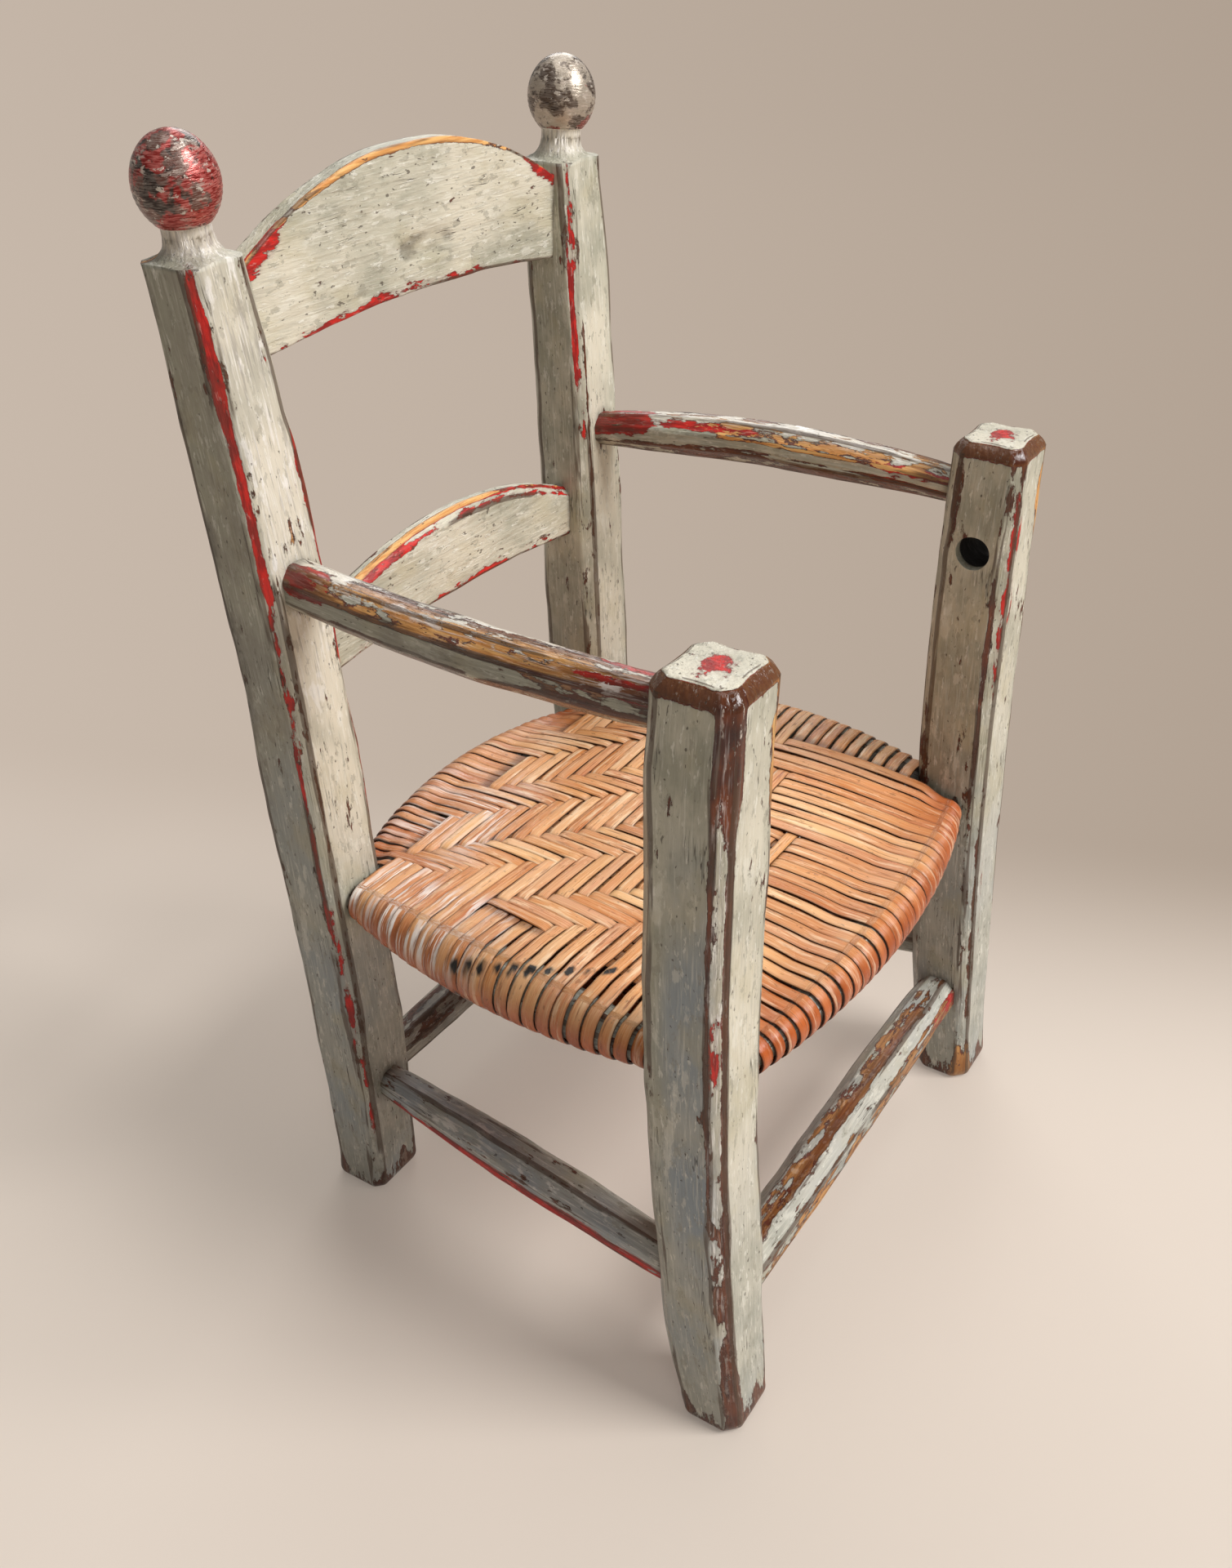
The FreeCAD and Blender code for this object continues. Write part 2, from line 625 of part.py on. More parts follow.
def finial_sketch(body, base, turn):
    """Half the outline of a finial: its root in the post, a cove, a short neck and the ball.

    The ball is an egg of two arcs that meet smoothly, a tight one over the top and a wider one
    down its side into the neck.
    """
    sketch = body.newObject("Sketcher::SketchObject", f"{body.Label}_finial_outline")
    attach(sketch, body, "XZ_Plane", base, turn=turn, turn_axis=Vector(0, 0, 1))
    wide, tall, cap, middle, neck, cove, root, foot, sink = (SIZES[name] for name in (
        "ball_half_width", "ball_half_height", "ball_cap_radius", "ball_height", "neck_radius",
        "cove_radius", "finial_base_radius", "finial_root", "cove_sink"))
    upright = Vector(0, 0, 1)
    drop = tall - cap
    side = (wide * wide + drop * drop - cap * cap) / (2 * (wide - cap))
    inset = side - wide
    join = math.atan2(drop, inset)
    waist = middle - math.sqrt(side * side - (neck + inset) ** 2)
    cove_middle = Vector(neck + cove, cove - sink, 0)
    reach = neck + cove - root
    lip = cove_middle.y - math.sqrt(cove * cove - reach * reach)
    sketch.addGeometry(Part.ArcOfCircle(
        Part.Circle(Vector(0, middle + drop, 0), upright, cap), join, math.pi / 2))
    sketch.addGeometry(Part.LineSegment(Vector(0, middle + tall, 0), Vector(0, -foot, 0)))
    sketch.addGeometry(Part.LineSegment(Vector(0, -foot, 0), Vector(root, -foot, 0)))
    sketch.addGeometry(Part.LineSegment(Vector(root, -foot, 0), Vector(root, lip, 0)))
    sketch.addGeometry(Part.ArcOfCircle(
        Part.Circle(cove_middle, upright, cove), math.pi,
        math.pi + math.atan2(cove_middle.y - lip, reach)))
    sketch.addGeometry(Part.LineSegment(Vector(neck, cove_middle.y, 0), Vector(neck, waist, 0)))
    sketch.addGeometry(Part.ArcOfCircle(
        Part.Circle(Vector(-inset, middle, 0), upright, side),
        math.atan2(waist - middle, neck + inset), join))
    for first, second in (((0, 2), (1, 1)), ((1, 2), (2, 1)), ((2, 2), (3, 1)),
                          ((3, 2), (4, 2)), ((5, 2), (6, 1))):
        sketch.addConstraint(Sketcher.Constraint("Coincident", *first, *second))
    for index, kind in ((1, "Vertical"), (2, "Horizontal"), (3, "Vertical"), (5, "Vertical")):
        sketch.addConstraint(Sketcher.Constraint(kind, index))
    sketch.addConstraint(Sketcher.Constraint("Tangent", 5, 1, 4, 1))
    sketch.addConstraint(Sketcher.Constraint("Tangent", 6, 2, 0, 1))
    sketch.addConstraint(Sketcher.Constraint("PointOnObject", 0, 3, -2))
    sketch.addConstraint(Sketcher.Constraint("PointOnObject", 1, 1, -2))
    origin = (-1, 1)
    distance(sketch, "DistanceY", (0, 3), (0, 2), size("ball_cap_radius"))
    distance(sketch, "DistanceY", origin, (6, 3), size("ball_height"))
    distance(sketch, "DistanceY", (6, 3), (0, 2), size("ball_half_height"))
    distance(sketch, "DistanceX", origin, (4, 3), f"{size('neck_radius')} + {size('cove_radius')}")
    distance(sketch, "DistanceY", origin, (4, 3), f"{size('cove_radius')} - {size('cove_sink')}")
    distance(sketch, "DistanceX", origin, (3, 1), size("finial_base_radius"))
    distance(sketch, "DistanceY", (1, 2), origin, size("finial_root"))
    index = sketch.addConstraint(Sketcher.Constraint("Radius", 4, cove))
    sketch.setExpression(f"Constraints[{index}]", size("cove_radius"))
    index = sketch.addConstraint(Sketcher.Constraint("Radius", 6, side))
    wide, tall, cap = size("ball_half_width"), size("ball_half_height"), size("ball_cap_radius")
    drop = f"({tall} - {cap})"
    sketch.setExpression(f"Constraints[{index}]",
                         f"({wide} * {wide} + {drop} * {drop} - {cap} * {cap}) / (2 * ({wide} - {cap}))")
    return sketch


def make_back_post(side, sign):
    """A back post with its turned finial, its sockets and the mortises of the two slats."""
    foot = post_axis("back", "foot", sign)
    body = new_body(f"back_post_{side}", foot[0], foot[1])
    hewn_shaft(body, "back", sign, size("shoulder_height"))
    base = (f"{sign} * {size('back_top_shift_x')}", size("shoulder_height"),
            f"-{size('back_top_shift_y')}")
    finial = body.newObject("PartDesign::Revolution", f"{body.Label}_finial")
    finial.Profile = finial_sketch(body, base, f"{-sign} * {size('finial_lean')}")
    finial.ReferenceAxis = (finial.Profile[0], ["V_Axis"])
    finial.Angle = 360
    side_sockets(body, "back", sign, side)
    cross_sockets(body, "back", sign)
    for name in ("crest", "lower"):
        frame = slat_frame(name)
        slot(body, "back", sign, f"{body.Label}_{name}_mortise", frame["inner"],
             f"{frame['half_length']} + {size('shoulder_gap')}", frame["middle"],
             frame["bottom"], frame["top"])
    return body


# Splint seat: flat strands that go right round the rails and back underneath

def number(name):
    """A driving size as a number, for the strands, which are worked out point by point."""
    return getattr(doc.Sizes, name)


def rail_point(label, share):
    """The middle of a rail and its half thickness at a share of its length.

    The half thickness follows the parabola through the sizes at both ends and the middle.
    """
    rail = doc.getObject(label)
    swell = 4 * share * (1 - share)
    if label in SIDE_RAILS:
        ends = number("side_rail_back_half"), number("side_rail_front_half")
        middle = number("side_rail_mid_half")
        bow = number("side_rail_bow") * SIDES[label.split("_")[0]]
    else:
        ends = number("end_rail_end_half"), number("end_rail_end_half")
        middle = number("end_rail_mid_half")
        bow = number("back_rail_bow") if label.startswith("back") else -number("front_rail_bow")
    far = doc.getObject(f"{label}_section_{len(STATIONS) - 1}").AttachmentOffset.Base.z
    point = Vector(far * share, bow * swell, number("rail_crown") * swell)
    half = (ends[0] * (1 - share) * (1 - 2 * share) + middle * swell
            + ends[1] * share * (2 * share - 1))
    return rail.Placement.multVec(point), half


def rail_at(label, axis, value):
    """The rail's middle, half thickness and heading where its X or Y has a value, by halving."""
    low, high = 0.0, 1.0
    rising = rail_point(label, 1.0)[0][axis] > rail_point(label, 0.0)[0][axis]
    for _ in range(40):
        share = (low + high) / 2
        if (rail_point(label, share)[0][axis] < value) == rising:
            low = share
        else:
            high = share
    middle, half = rail_point(label, low)
    heading = rail_point(label, low + 0.01)[0] - rail_point(label, low - 0.01)[0]
    heading.z = 0
    return middle, half, heading.normalize()


def belt(first, second, thickness, rises):
    """One edge of a strand: a closed line round two eight-sided rails, standing off their flats.

    It turns round the outer half of each rail with the rail's own corners, runs straight
    underneath, and over the top it stands above the straight line by each of the rises.
    """
    (start, start_half, start_heading), (end, end_half, end_heading) = first, second
    flat = Vector(end.x - start.x, end.y - start.y, 0).normalize()
    share = math.tan(math.pi / 8)
    corners = []
    for middle, half, heading, out in ((start, start_half, start_heading, flat * -1),
                                       (end, end_half, end_heading, flat)):
        up = half + thickness
        # Crossing the rail aslant, the strand needs more room on the level
        across = up / abs(flat.cross(heading).z)
        turn = [(share * across, -up), (across, -share * up), (across, share * up), (share * across, up)]
        corners.append([middle + out * level + Vector(0, 0, height) for level, height in turn])
    near, far = corners
    top = [near[3] + (far[3] - near[3]) * ((index + 1) / (len(rises) + 1)) + Vector(0, 0, rise)
           for index, rise in enumerate(rises)]
    points = near + top + far[::-1]
    return Part.makePolygon(points + points[:1])


def strand(edge_pairs, rises):
    """A flat closed strand between two belts, as the difference of an outer and an inner solid."""
    clear = number("strand_clearance")
    outer = clear + number("strand_thickness")
    solids = []
    for offset in (outer, clear):
        wires = [belt(first, second, offset, rises) for first, second in edge_pairs]
        solids.append(Part.makeLoft(wires, True, True))
    return solids[0].cut(solids[1])


def warp_strands():
    """Strands from front to back, fanned out because the seat is wider at the front."""
    front_span = number("front_foot_x") + number("front_seat_shift_x") - number("front_seat_half")
    back_span = number("back_foot_x") + number("back_seat_shift_x") - number("back_seat_half")
    count = int(number("warp_count"))
    halves = number("warp_front_width") / 2, number("warp_back_width") / 2
    spans = [span - number("strand_post_gap") - half
             for span, half in zip((front_span, back_span), halves)]
    strands = []
    for index in range(count):
        place = 2 * index / (count - 1) - 1
        edges = []
        for side in (-1, 1):
            front = rail_at("front_seat_rail", 0, spans[0] * place + side * halves[0])
            back = rail_at("back_seat_rail", 0, spans[1] * place + side * halves[1])
            edges.append((front, back))
        strands.append(strand(edges, [number("warp_rise") * (1 - place * place)]))
    return strands


def weft_strands():
    """Strands from side to side over the warp, lifted over the front rail's crown at the front."""
    back = side_span("back")
    front = side_span("front")
    count = int(number("weft_count"))
    half = number("weft_width") / 2
    strands = []
    for index in range(count):
        share = index / (count - 1)
        along = front + half + (back - front - 2 * half) * share
        edges = [(rail_at("left_seat_rail", 1, along + shift),
                  rail_at("right_seat_rail", 1, along + shift)) for shift in (-half, half)]
        swell = 4 * share * (1 - share)
        middle = number("weft_crown") * (1 - swell) - number("weft_sag") * swell
        strands.append(strand(edges, [0.75 * middle, middle, 0.75 * middle]))
    return strands


def side_span(row):
    """How far the weft may reach towards a row of posts."""
    middle = number(f"{row}_foot_y") + number(f"{row}_seat_shift_y")
    reach = number(f"{row}_seat_half") - number(f"{row}_post_planing") + number("strand_post_gap")
    return middle - reach if row == "back" else middle + reach


def make_seat():
    """Two groups of strands, each strand a solid of its own."""
    for label, strands in (("seat_warp", warp_strands()), ("seat_weft", weft_strands())):
        group = doc.addObject("Part::Feature", label)
        group.Label = label
        group.Shape = Part.makeCompound(strands)
        group.Placement = Placement()


# Assembly

def check_document(parts):
    """Stop if any object failed or a piece has no valid solid."""
    for item in doc.Objects:
        if {"Invalid", "Error"} & set(item.State):
            raise RuntimeError(f"{item.Label} failed: {item.State}")
    for part in parts:
        if part.Shape.isNull() or not part.Shape.isValid() or not part.Shape.Solids:
            raise RuntimeError(f"{part.Label} has no valid solid")


def main():
    """Build the chair and write one file for each piece."""
    write_sizes()
    for side, sign in SIDES.items():
        make_front_post(side, sign)
        make_back_post(side, sign)
    make_slats()
    make_rungs()
    make_arms()
    make_rails()
    doc.recompute()
    make_seat()
    doc.recompute()
    parts = [item for item in doc.Objects
             if item.isDerivedFrom("PartDesign::Body") or item.TypeId == "Part::Feature"]
    check_document(parts)
    os.makedirs("parts", exist_ok=True)
    for part in parts:
        part.Shape.exportStep(f"parts/{part.Label}.step")
        print(part.Label, len(part.Shape.Solids), "solids", round(part.Shape.Volume), "mm3")


main()
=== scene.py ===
"""A child's ladder-back armchair in worn paint, with a woven splint seat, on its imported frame.

+X is to the right as seen from the front, +Y to the back, +Z up. Shapes are worked out in
millimetres, and their meshes are in metres.
"""
import math

import bmesh
import bpy
import numpy as np
from bpy.props import FloatProperty, FloatVectorProperty, PointerProperty
from mathutils import Matrix, Vector


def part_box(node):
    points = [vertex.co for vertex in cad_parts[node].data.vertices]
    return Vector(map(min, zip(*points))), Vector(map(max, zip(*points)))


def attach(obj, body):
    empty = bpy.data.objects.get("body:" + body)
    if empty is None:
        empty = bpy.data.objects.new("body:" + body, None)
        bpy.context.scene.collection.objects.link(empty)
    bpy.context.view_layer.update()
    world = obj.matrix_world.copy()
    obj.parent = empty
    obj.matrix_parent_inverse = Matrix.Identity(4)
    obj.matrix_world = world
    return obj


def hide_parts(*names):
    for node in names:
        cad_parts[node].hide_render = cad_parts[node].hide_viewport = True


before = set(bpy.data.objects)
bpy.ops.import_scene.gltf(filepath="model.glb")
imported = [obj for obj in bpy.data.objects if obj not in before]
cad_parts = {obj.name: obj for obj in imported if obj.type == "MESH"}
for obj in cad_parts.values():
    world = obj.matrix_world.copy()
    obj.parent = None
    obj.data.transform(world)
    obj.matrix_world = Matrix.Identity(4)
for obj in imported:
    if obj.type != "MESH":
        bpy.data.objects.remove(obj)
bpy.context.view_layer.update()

bl_info = {
    "name": "Painted ladder-back armchair",
    "version": (1, 0, 0),
    "blender": (4, 5, 0),
    "location": "View3D > Sidebar > Armchair",
    "description": "Builds the worn paint, turned finials and woven seat of a ladder-back armchair",
    "category": "Add Mesh",
}

MM = 0.001
UP = np.array([0, 0, 1.0])
SIDES = {"left": -1, "right": 1}

# Facets of an eight-sided post or spindle, anticlockwise from its right face, the points along
# each, the points round an arris, and the column of points down the middle of each facet
FACETS = ("right", "right_back", "back", "left_back", "left", "left_front", "front", "right_front")
FACET_STEPS, ARC_STEPS = (15, 4) * 4, 5
COLUMN = {name: sum(FACET_STEPS[:n]) + ARC_STEPS * (n + 1) + FACET_STEPS[n] // 2
          for n, name in enumerate(FACETS)}

# How far apart rings lie along a post, and along a spindle or a slat
POST_GAP, BOARD_GAP = 1.9, 1.7

# Layers of wear and of painted light: bare wood, bare undercoat, grime with painted shade, warm
# new wood, varnish runs, pale paint with painted light on lit faces, cooler bluish paint with
# painted shade, and paint rubbed to a silvery shine with a painted sheen
WOOD, RED, GRIME_AND_SHADE, WARM, VARNISH, PALE_AND_LIT, COOL_AND_SHADE, POLISH_AND_SHEEN = range(8)

# Posts: the foot's middle, how much flatter a post is from front to back, the chamfer's size, and
# at five heights the shift of the axis outwards and backwards and the half width from side to
# side. The last height is where the bevel or the shoulder starts. Then the wear at the foot.
FRONT_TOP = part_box("front_post_left")[1][2] / MM
TOP_BEVEL = 6.0
SHOULDER = 516.5
POSTS = {
    "front": dict(
        seeds={"left": 11, "right": 23}, foot=(146.5, -135), planing=1.3, chamfer=6.2,
        height=(7, 70, 198, 376, FRONT_TOP - TOP_BEVEL), out=(0, 1, 1, -1.5, -2),
        back=(0, 7, 15, 17, 16.5), half=(19, 20.8, 21.6, 21.3, 21),
        worn_foot={WOOD: 0.19, VARNISH: 0.35, GRIME_AND_SHADE: 0.3}),
    "back": dict(
        seeds={"left": 37, "right": 53}, foot=(116, 113), planing=2.2, chamfer=5.2,
        height=(7, 70, 198, 376, SHOULDER), out=(0, 1, 4, 9, 16),
        back=(0, -0.5, 2.5, 10.5, 22), half=(19, 20.2, 20.8, 20.3, 18.4),
        worn_foot={WOOD: 0.19, VARNISH: 0.3, GRIME_AND_SHADE: 0.4}),
}
# How much narrower the sole is than the foot above its rounding
FOOT_WEAR = 3.5

# Turned finial: radii of the neck and the cove, how far the cove sinks into the shoulder, the
# ball's middle above the shoulder, its radius, its top above its middle, the radius over its
# top, and how far the finial leans outwards
NECK, COVE, SINK = 10.3, 10.2, 1.0
BALL_HEIGHT, BALL_WIDE, BALL_TALL, BALL_CAP = 29.2, 17.8, 20.2, 15.8
FINIAL_LEAN = math.radians(5)
# Rings from the shoulder to where the neck is narrowest
NECK_RINGS = 16

# The guard bar's hole: its height, its place from front to back, its radius, its depth on the
# left and how far the post's axis leans in at its height
HOLE_HEIGHT, HOLE_BACK, HOLE_RADIUS, HOLE_BLIND, HOLE_LEAN = 348.5, -118.0, 9.0, 24.0, 1.3

# Spindles: start and end (the back or the left end first), half thickness at the start, the
# middle and the end, how far the middle rises and how far it bows to the left of its direction
SPINDLES = {
    "left_rung": ((-117, 94, 74), (-147.5, -108, 83.5), (9.4, 12.3, 10.4), 0, 0),
    "right_rung": ((117, 94, 74), (147.5, -108, 83.5), (9.4, 12.3, 10.4), 0, 0),
    "front_rung": ((-126.2, -128, 63), (126.2, -128, 63), (12.1, 13.3, 12.1), 0, 0),
    "back_rung": ((-96.3, 112.5, 71), (96.3, 112.5, 71), (10.4, 12, 10.4), 0, 0),
    "left_arm": ((-125, 105, 375.6), (-145, -97.4, 383), (11.2, 11.7, 10.7), -2.8, -1.8),
    "right_arm": ((125, 105, 375.6), (145, -97.4, 374.5), (9.8, 11.9, 8.9), 4.8, 1.8),
    "left_seat_rail": ((-121, 96.6, 201.5), (-138, -99.4, 201.5), (8.3, 14.8, 6.4), 3, -7.5),
    "right_seat_rail": ((121, 96.6, 201.5), (138, -99.4, 201.5), (8.3, 14.8, 6.4), 3, 7.5),
    "front_seat_rail": ((-125.7, -121, 194), (125.7, -121, 194), (6.6, 12.5, 6.6), 3, -14),
    "back_seat_rail": ((-98.9, 113, 194), (98.9, 113, 194), (6.6, 12.5, 6.6), 3, 11.5),
}
# How far a spindle runs on into its posts
SPINDLE_SEAT = 2.5

# Slats: half length between the posts, middle plane, heights at the posts of the lower and upper
# edge, how far each rises in the middle, the width of the bevel on the upper edge, and how far
# left of the middle its bare run lies
SLATS = {
    "crest_slat": dict(seed=5, inner=112.1, plane=132, bottom=468.5, top=511.3, rises=(7, 32),
                       bevel=0, bare=8),
    "lower_slat": dict(seed=9, inner=103.1, plane=121, bottom=316, top=345, rises=(6, 21.5),
                       bevel=4.5, bare=25),
}
SLAT_THICKNESS = 11.0

# The seat: strands of each direction, how many warps a twill repeats over, how many of them a
# weft lies over, and where the first weft starts
WARPS, WEFTS = 30, 26
TWILL, WEFT_OVER, TWILL_START = 11, 6, 5
# Half width of the warps at the front and at the back, and the first and the last weft's place
WARP_FRONT, WARP_BACK = 119.4, 94.9
SEAT_FRONT, SEAT_BACK = -94.9, 92.1
# Where the warps start to narrow towards the back and over what length, first as the wefts take
# it and then as the sheet does
NARROWING, SHEET_NARROWING = (-121, 210), (-120, 212)
# Height of the woven sheet's middle, and how far it rises in its corners, on top and underneath
SHEET = {1: (213.0, -4.5), -1: (184.5, 6.0)}
# How far past the outer strands it would meet its edges, to the sides and to front and back
SHEET_PAST = (14.0, 22.0)
# A strand's clearance from its rails, and how far from a rail it has come to the sheet's height
RAIL_GAP, RAIL_REACH = 0.25, 15.0
# A strip's outline, in shares of its half width and of its half thickness
STRIP_ACROSS = np.array([-1, -0.93, -0.6, 0, 0.6, 0.93, 1, 0.93, 0.6, 0, -0.6, -0.93])
STRIP_THROUGH = np.array([0, 0.85, 1.15, 1.35, 1.15, 0.85, 0, -0.85, -1, -1, -1, -0.85])
# Points along a strand on top, underneath and round each rail
TOP_STEPS, UNDER_STEPS, TURN_STEPS = 120, 60, 11

# Marks by piece and facet: layer, lower and upper end, half width, strength and, if
# not 0, how far aside of the facet's middle. A front post's chamfer has its arrises 4.4 to either
# side of its middle, a back post's 3.7. A spindle's "left" faces out, and its "back" is on top.
# Grime marks on the back left post's left faces, the left arm's outer face and the rungs under the
# seat are painted shade, and pale and polish marks on the front faces and the arms' tops are partly
# painted light and sheen
MARKS = {
    "front_post_left": {
        "left_front": ((VARNISH, 320, 420, 1.2, 1.1, -4.2), (VARNISH, 150, 330, 0.7, 0.62, -4.4),
            (VARNISH, 345, 420, 3.4, 1.2, 3.4), (VARNISH, 358, 425, 5, 0.75),
            (VARNISH, 235, 355, 1.5, 1, 3.8), (VARNISH, 80, 240, 1.4, 0.6, 3.4),
            (VARNISH, -20, 115, 4.2, 0.42, 0.5), (RED, 325, 392, 2.2, 0.05, -1),
            (POLISH_AND_SHEEN, 60, 392, 4, 0.7, -1), (WOOD, -20, 45, 6, 0.4, 3), (WARM, 335, 400, 1.4, 0.7, 4.8),
            (WOOD, 60, 240, 4.5, 0.16), (RED, 225, 262, 3, 0.24, -1)),
        "right_front": ((WARM, 350, 420, 8, 1), (WOOD, 350, 420, 6, 0.55)),
        "front": ((WARM, 368, 420, 5, 1, 14), (WOOD, 368, 384, 4, 0.5, 15),
            (VARNISH, 362, 420, 3, 0.6, -13), (WOOD, 60, 350, 16, -0.1), (PALE_AND_LIT, 60, 380, 15, 1),
            (COOL_AND_SHADE, 0, 300, 20, -0.4)),
        "left": ((WOOD, 40, 392, 18, -0.14), (COOL_AND_SHADE, 100, 310, 12, 1.6, 5),
            (WOOD, 200, 330, 1.2, 0.22, 14.5)),
    },
    "front_post_right": {
        "left_front": ((VARNISH, 376, 420, 4, 0.3), (RED, 270, 372, 1.4, 0.36, 2.5),
            (VARNISH, 225, 335, 1.1, 0.8, -4.2), (VARNISH, 30, 200, 1, 0.4, 2),
            (WOOD, -20, 22, 8, 0.45), (WARM, -20, 30, 8, 0.9)),
        "right_front": ((WOOD, 365, 420, 6, 0.6), (WARM, 355, 420, 9, 1)),
        "front": ((WARM, 362, 420, 6, 1, 13), (WOOD, 366, 388, 5, 0.6, 15),
            (RED, 300, 372, 1.2, 0.3, -10), (RED, 90, 170, 1.6, 0.3, -8), (PALE_AND_LIT, 60, 390, 15, 1)),
        "left_back": ((WOOD, 180, 260, 4, 0.2),),
        "left": ((WOOD, 366, 392, 3, 0.36, -12), (VARNISH, 345, 370, 2, 0.5, -11),
            (WOOD, 230, 250, 3, 0.26, 6)),
    },
    "back_post_left": {
        "left_front": ((RED, 450, 512, 2.8, 0.8, -0.6), (RED, 380, 458, 2, 0.66, -0.4),
            (RED, 305, 385, 1.6, 0.42, -1.4), (RED, 200, 300, 1, 0.42, -3.4),
            (RED, 120, 205, 1.7, 0.42, -1), (RED, 30, 100, 1.2, 0.36, 1),
            (VARNISH, 140, 330, 0.7, 0.35, 3.9)),
        "right_front": ((RED, 345, 450, 1.4, 0.62, -3), (RED, 230, 330, 1.2, 0.36, -2.5)),
        "front": ((RED, 345, 475, 1, 0.2, 12), (WOOD, 390, 407, 5, 0.32, 5), (WARM, 384, 414, 9, 1, 5),
            (WOOD, 232, 270, 4, 0.26, 3), (PALE_AND_LIT, 220, 520, 16, 1.8), (VARNISH, 385, 400, 2, 0.5, -2),
            (POLISH_AND_SHEEN, 320, 530, 16, 0.8)),
        "left_back": ((WOOD, 440, 520, 3, 0.5), (WARM, 420, 530, 9, 0.9), (GRIME_AND_SHADE, 100, 560, 9, 0.5)),
        "left": ((COOL_AND_SHADE, 60, 330, 16, 0.7), (GRIME_AND_SHADE, 300, 560, 22, 0.8), (GRIME_AND_SHADE, 60, 330, 22, 0.25)),
    },
    "back_post_right": {
        "left_front": ((RED, 455, 515, 1.3, 0.36, 0.8), (RED, 405, 468, 1.5, 0.9, -1.4),
            (RED, 340, 405, 0.6, 0.3, 0.6), (VARNISH, 320, 440, 0.6, 0.5, 3.9)),
        "right_front": ((RED, 200, 510, 2, 0.2),),
        "front": ((PALE_AND_LIT, 60, 520, 14, 1.2),),
    },
    "left_arm": {
        "left_back": ((WOOD, 26, 175, 4.4, 0.6), (WARM, 20, 180, 9, 0.75), (RED, -5, 24, 9, 0.7),
            (VARNISH, -5, 26, 9, 0.4), (RED, 165, 212, 6, 0.3), (VARNISH, 165, 212, 6, 0.3),
            (POLISH_AND_SHEEN, 90, 212, 6, 0.8)),
        "back": ((RED, 0, 210, 9, -0.22), (WOOD, 15, 205, 5, 0.5, 1), (VARNISH, 20, 205, 4, 0.18, -2),
            (RED, 168, 212, 3, 0.36, -3), (POLISH_AND_SHEEN, 0, 212, 9, 1.3), (PALE_AND_LIT, 0, 210, 9, 1.6)),
        "left": ((WOOD, 150, 210, 7, 0.24), (VARNISH, 130, 215, 9, 0.3),
            (VARNISH, 20, 210, 1, 0.7, -4.5), (GRIME_AND_SHADE, 0, 210, 9, 0.9)),
        "left_front": ((VARNISH, 0, 210, 6, 0.6),),
    },
    "right_arm": {
        "left_back": ((WOOD, 55, 200, 4, 0.55), (WARM, 40, 205, 9, 0.75), (RED, -5, 30, 9, 0.9),
            (RED, 30, 90, 2.4, 0.4), (VARNISH, -5, 30, 9, 0.4)),
        "back": ((RED, 30, 210, 9, -0.2), (WOOD, 20, 205, 4.4, 0.44, -1), (POLISH_AND_SHEEN, 0, 212, 9, 1.2),
            (PALE_AND_LIT, 0, 210, 9, 1.6)),
        "left": ((WOOD, 80, 200, 1.2, 0.5, -3.5), (WARM, 60, 205, 2.5, 0.9, -3.5),
            (VARNISH, 60, 205, 0.8, 0.55, 2.5), (RED, 165, 210, 7, 0.3)),
        "left_front": ((VARNISH, 0, 210, 6, 0.6),),
    },
    "left_rung": {
        "left": ((RED, 60, 212, 3.4, 0.9, 2.6), (RED, 15, 70, 2, 0.5, 3.4),
            (VARNISH, 20, 205, 0.7, 0.45, 0.4), (COOL_AND_SHADE, 0, 210, 12, 0.8), (POLISH_AND_SHEEN, 0, 210, 9, 0.2)),
        "left_front": ((RED, 10, 212, 5, 0.8),),
        "back": ((GRIME_AND_SHADE, 0, 210, 12, 0.3),),
        "left_back": ((COOL_AND_SHADE, 0, 210, 12, 0.8), (POLISH_AND_SHEEN, 0, 210, 9, 0.5)),
    },
    "right_rung": {
        "back": ((WOOD, 0, 200, 12, 0.4),),
        "left_back": ((GRIME_AND_SHADE, 0, 200, 9, 0.8),),
    },
    "front_rung": {
        "left": ((WOOD, -5, 258, 6, 0.4, 1), (WARM, -5, 258, 9, 0.55), (VARNISH, 150, 258, 9, 0.2),
            (RED, 225, 258, 6, 0.5)),
        "left_back": ((PALE_AND_LIT, 20, 240, 6, 1.2), (WOOD, 0, 255, 1, 0.3, 3.5)),
        "back": ((WOOD, -5, 258, 5, 0.36), (WARM, 0, 255, 9, 0.3), (VARNISH, 0, 255, 3, 0.4, 3)),
    },
    "back_rung": {
        "back": ((WOOD, 0, 200, 20, 0.3), (GRIME_AND_SHADE, 0, 200, 30, 1)),
    },
}


# Numbers and noise

def linear_colour(code):
    """An sRGB hex code as a linear colour with full alpha."""
    parts = [int(code[i:i + 2], 16) / 255 for i in (1, 3, 5)]
    return [p / 12.92 if p <= 0.04045 else ((p + 0.055) / 1.055) ** 2.4 for p in parts] + [1.0]


def ramp(value, low, high):
    """0 below low, 1 above high, and a smooth S between them."""
    share = np.clip((value - low) / (high - low), 0, 1)
    return share * share * (3 - 2 * share)


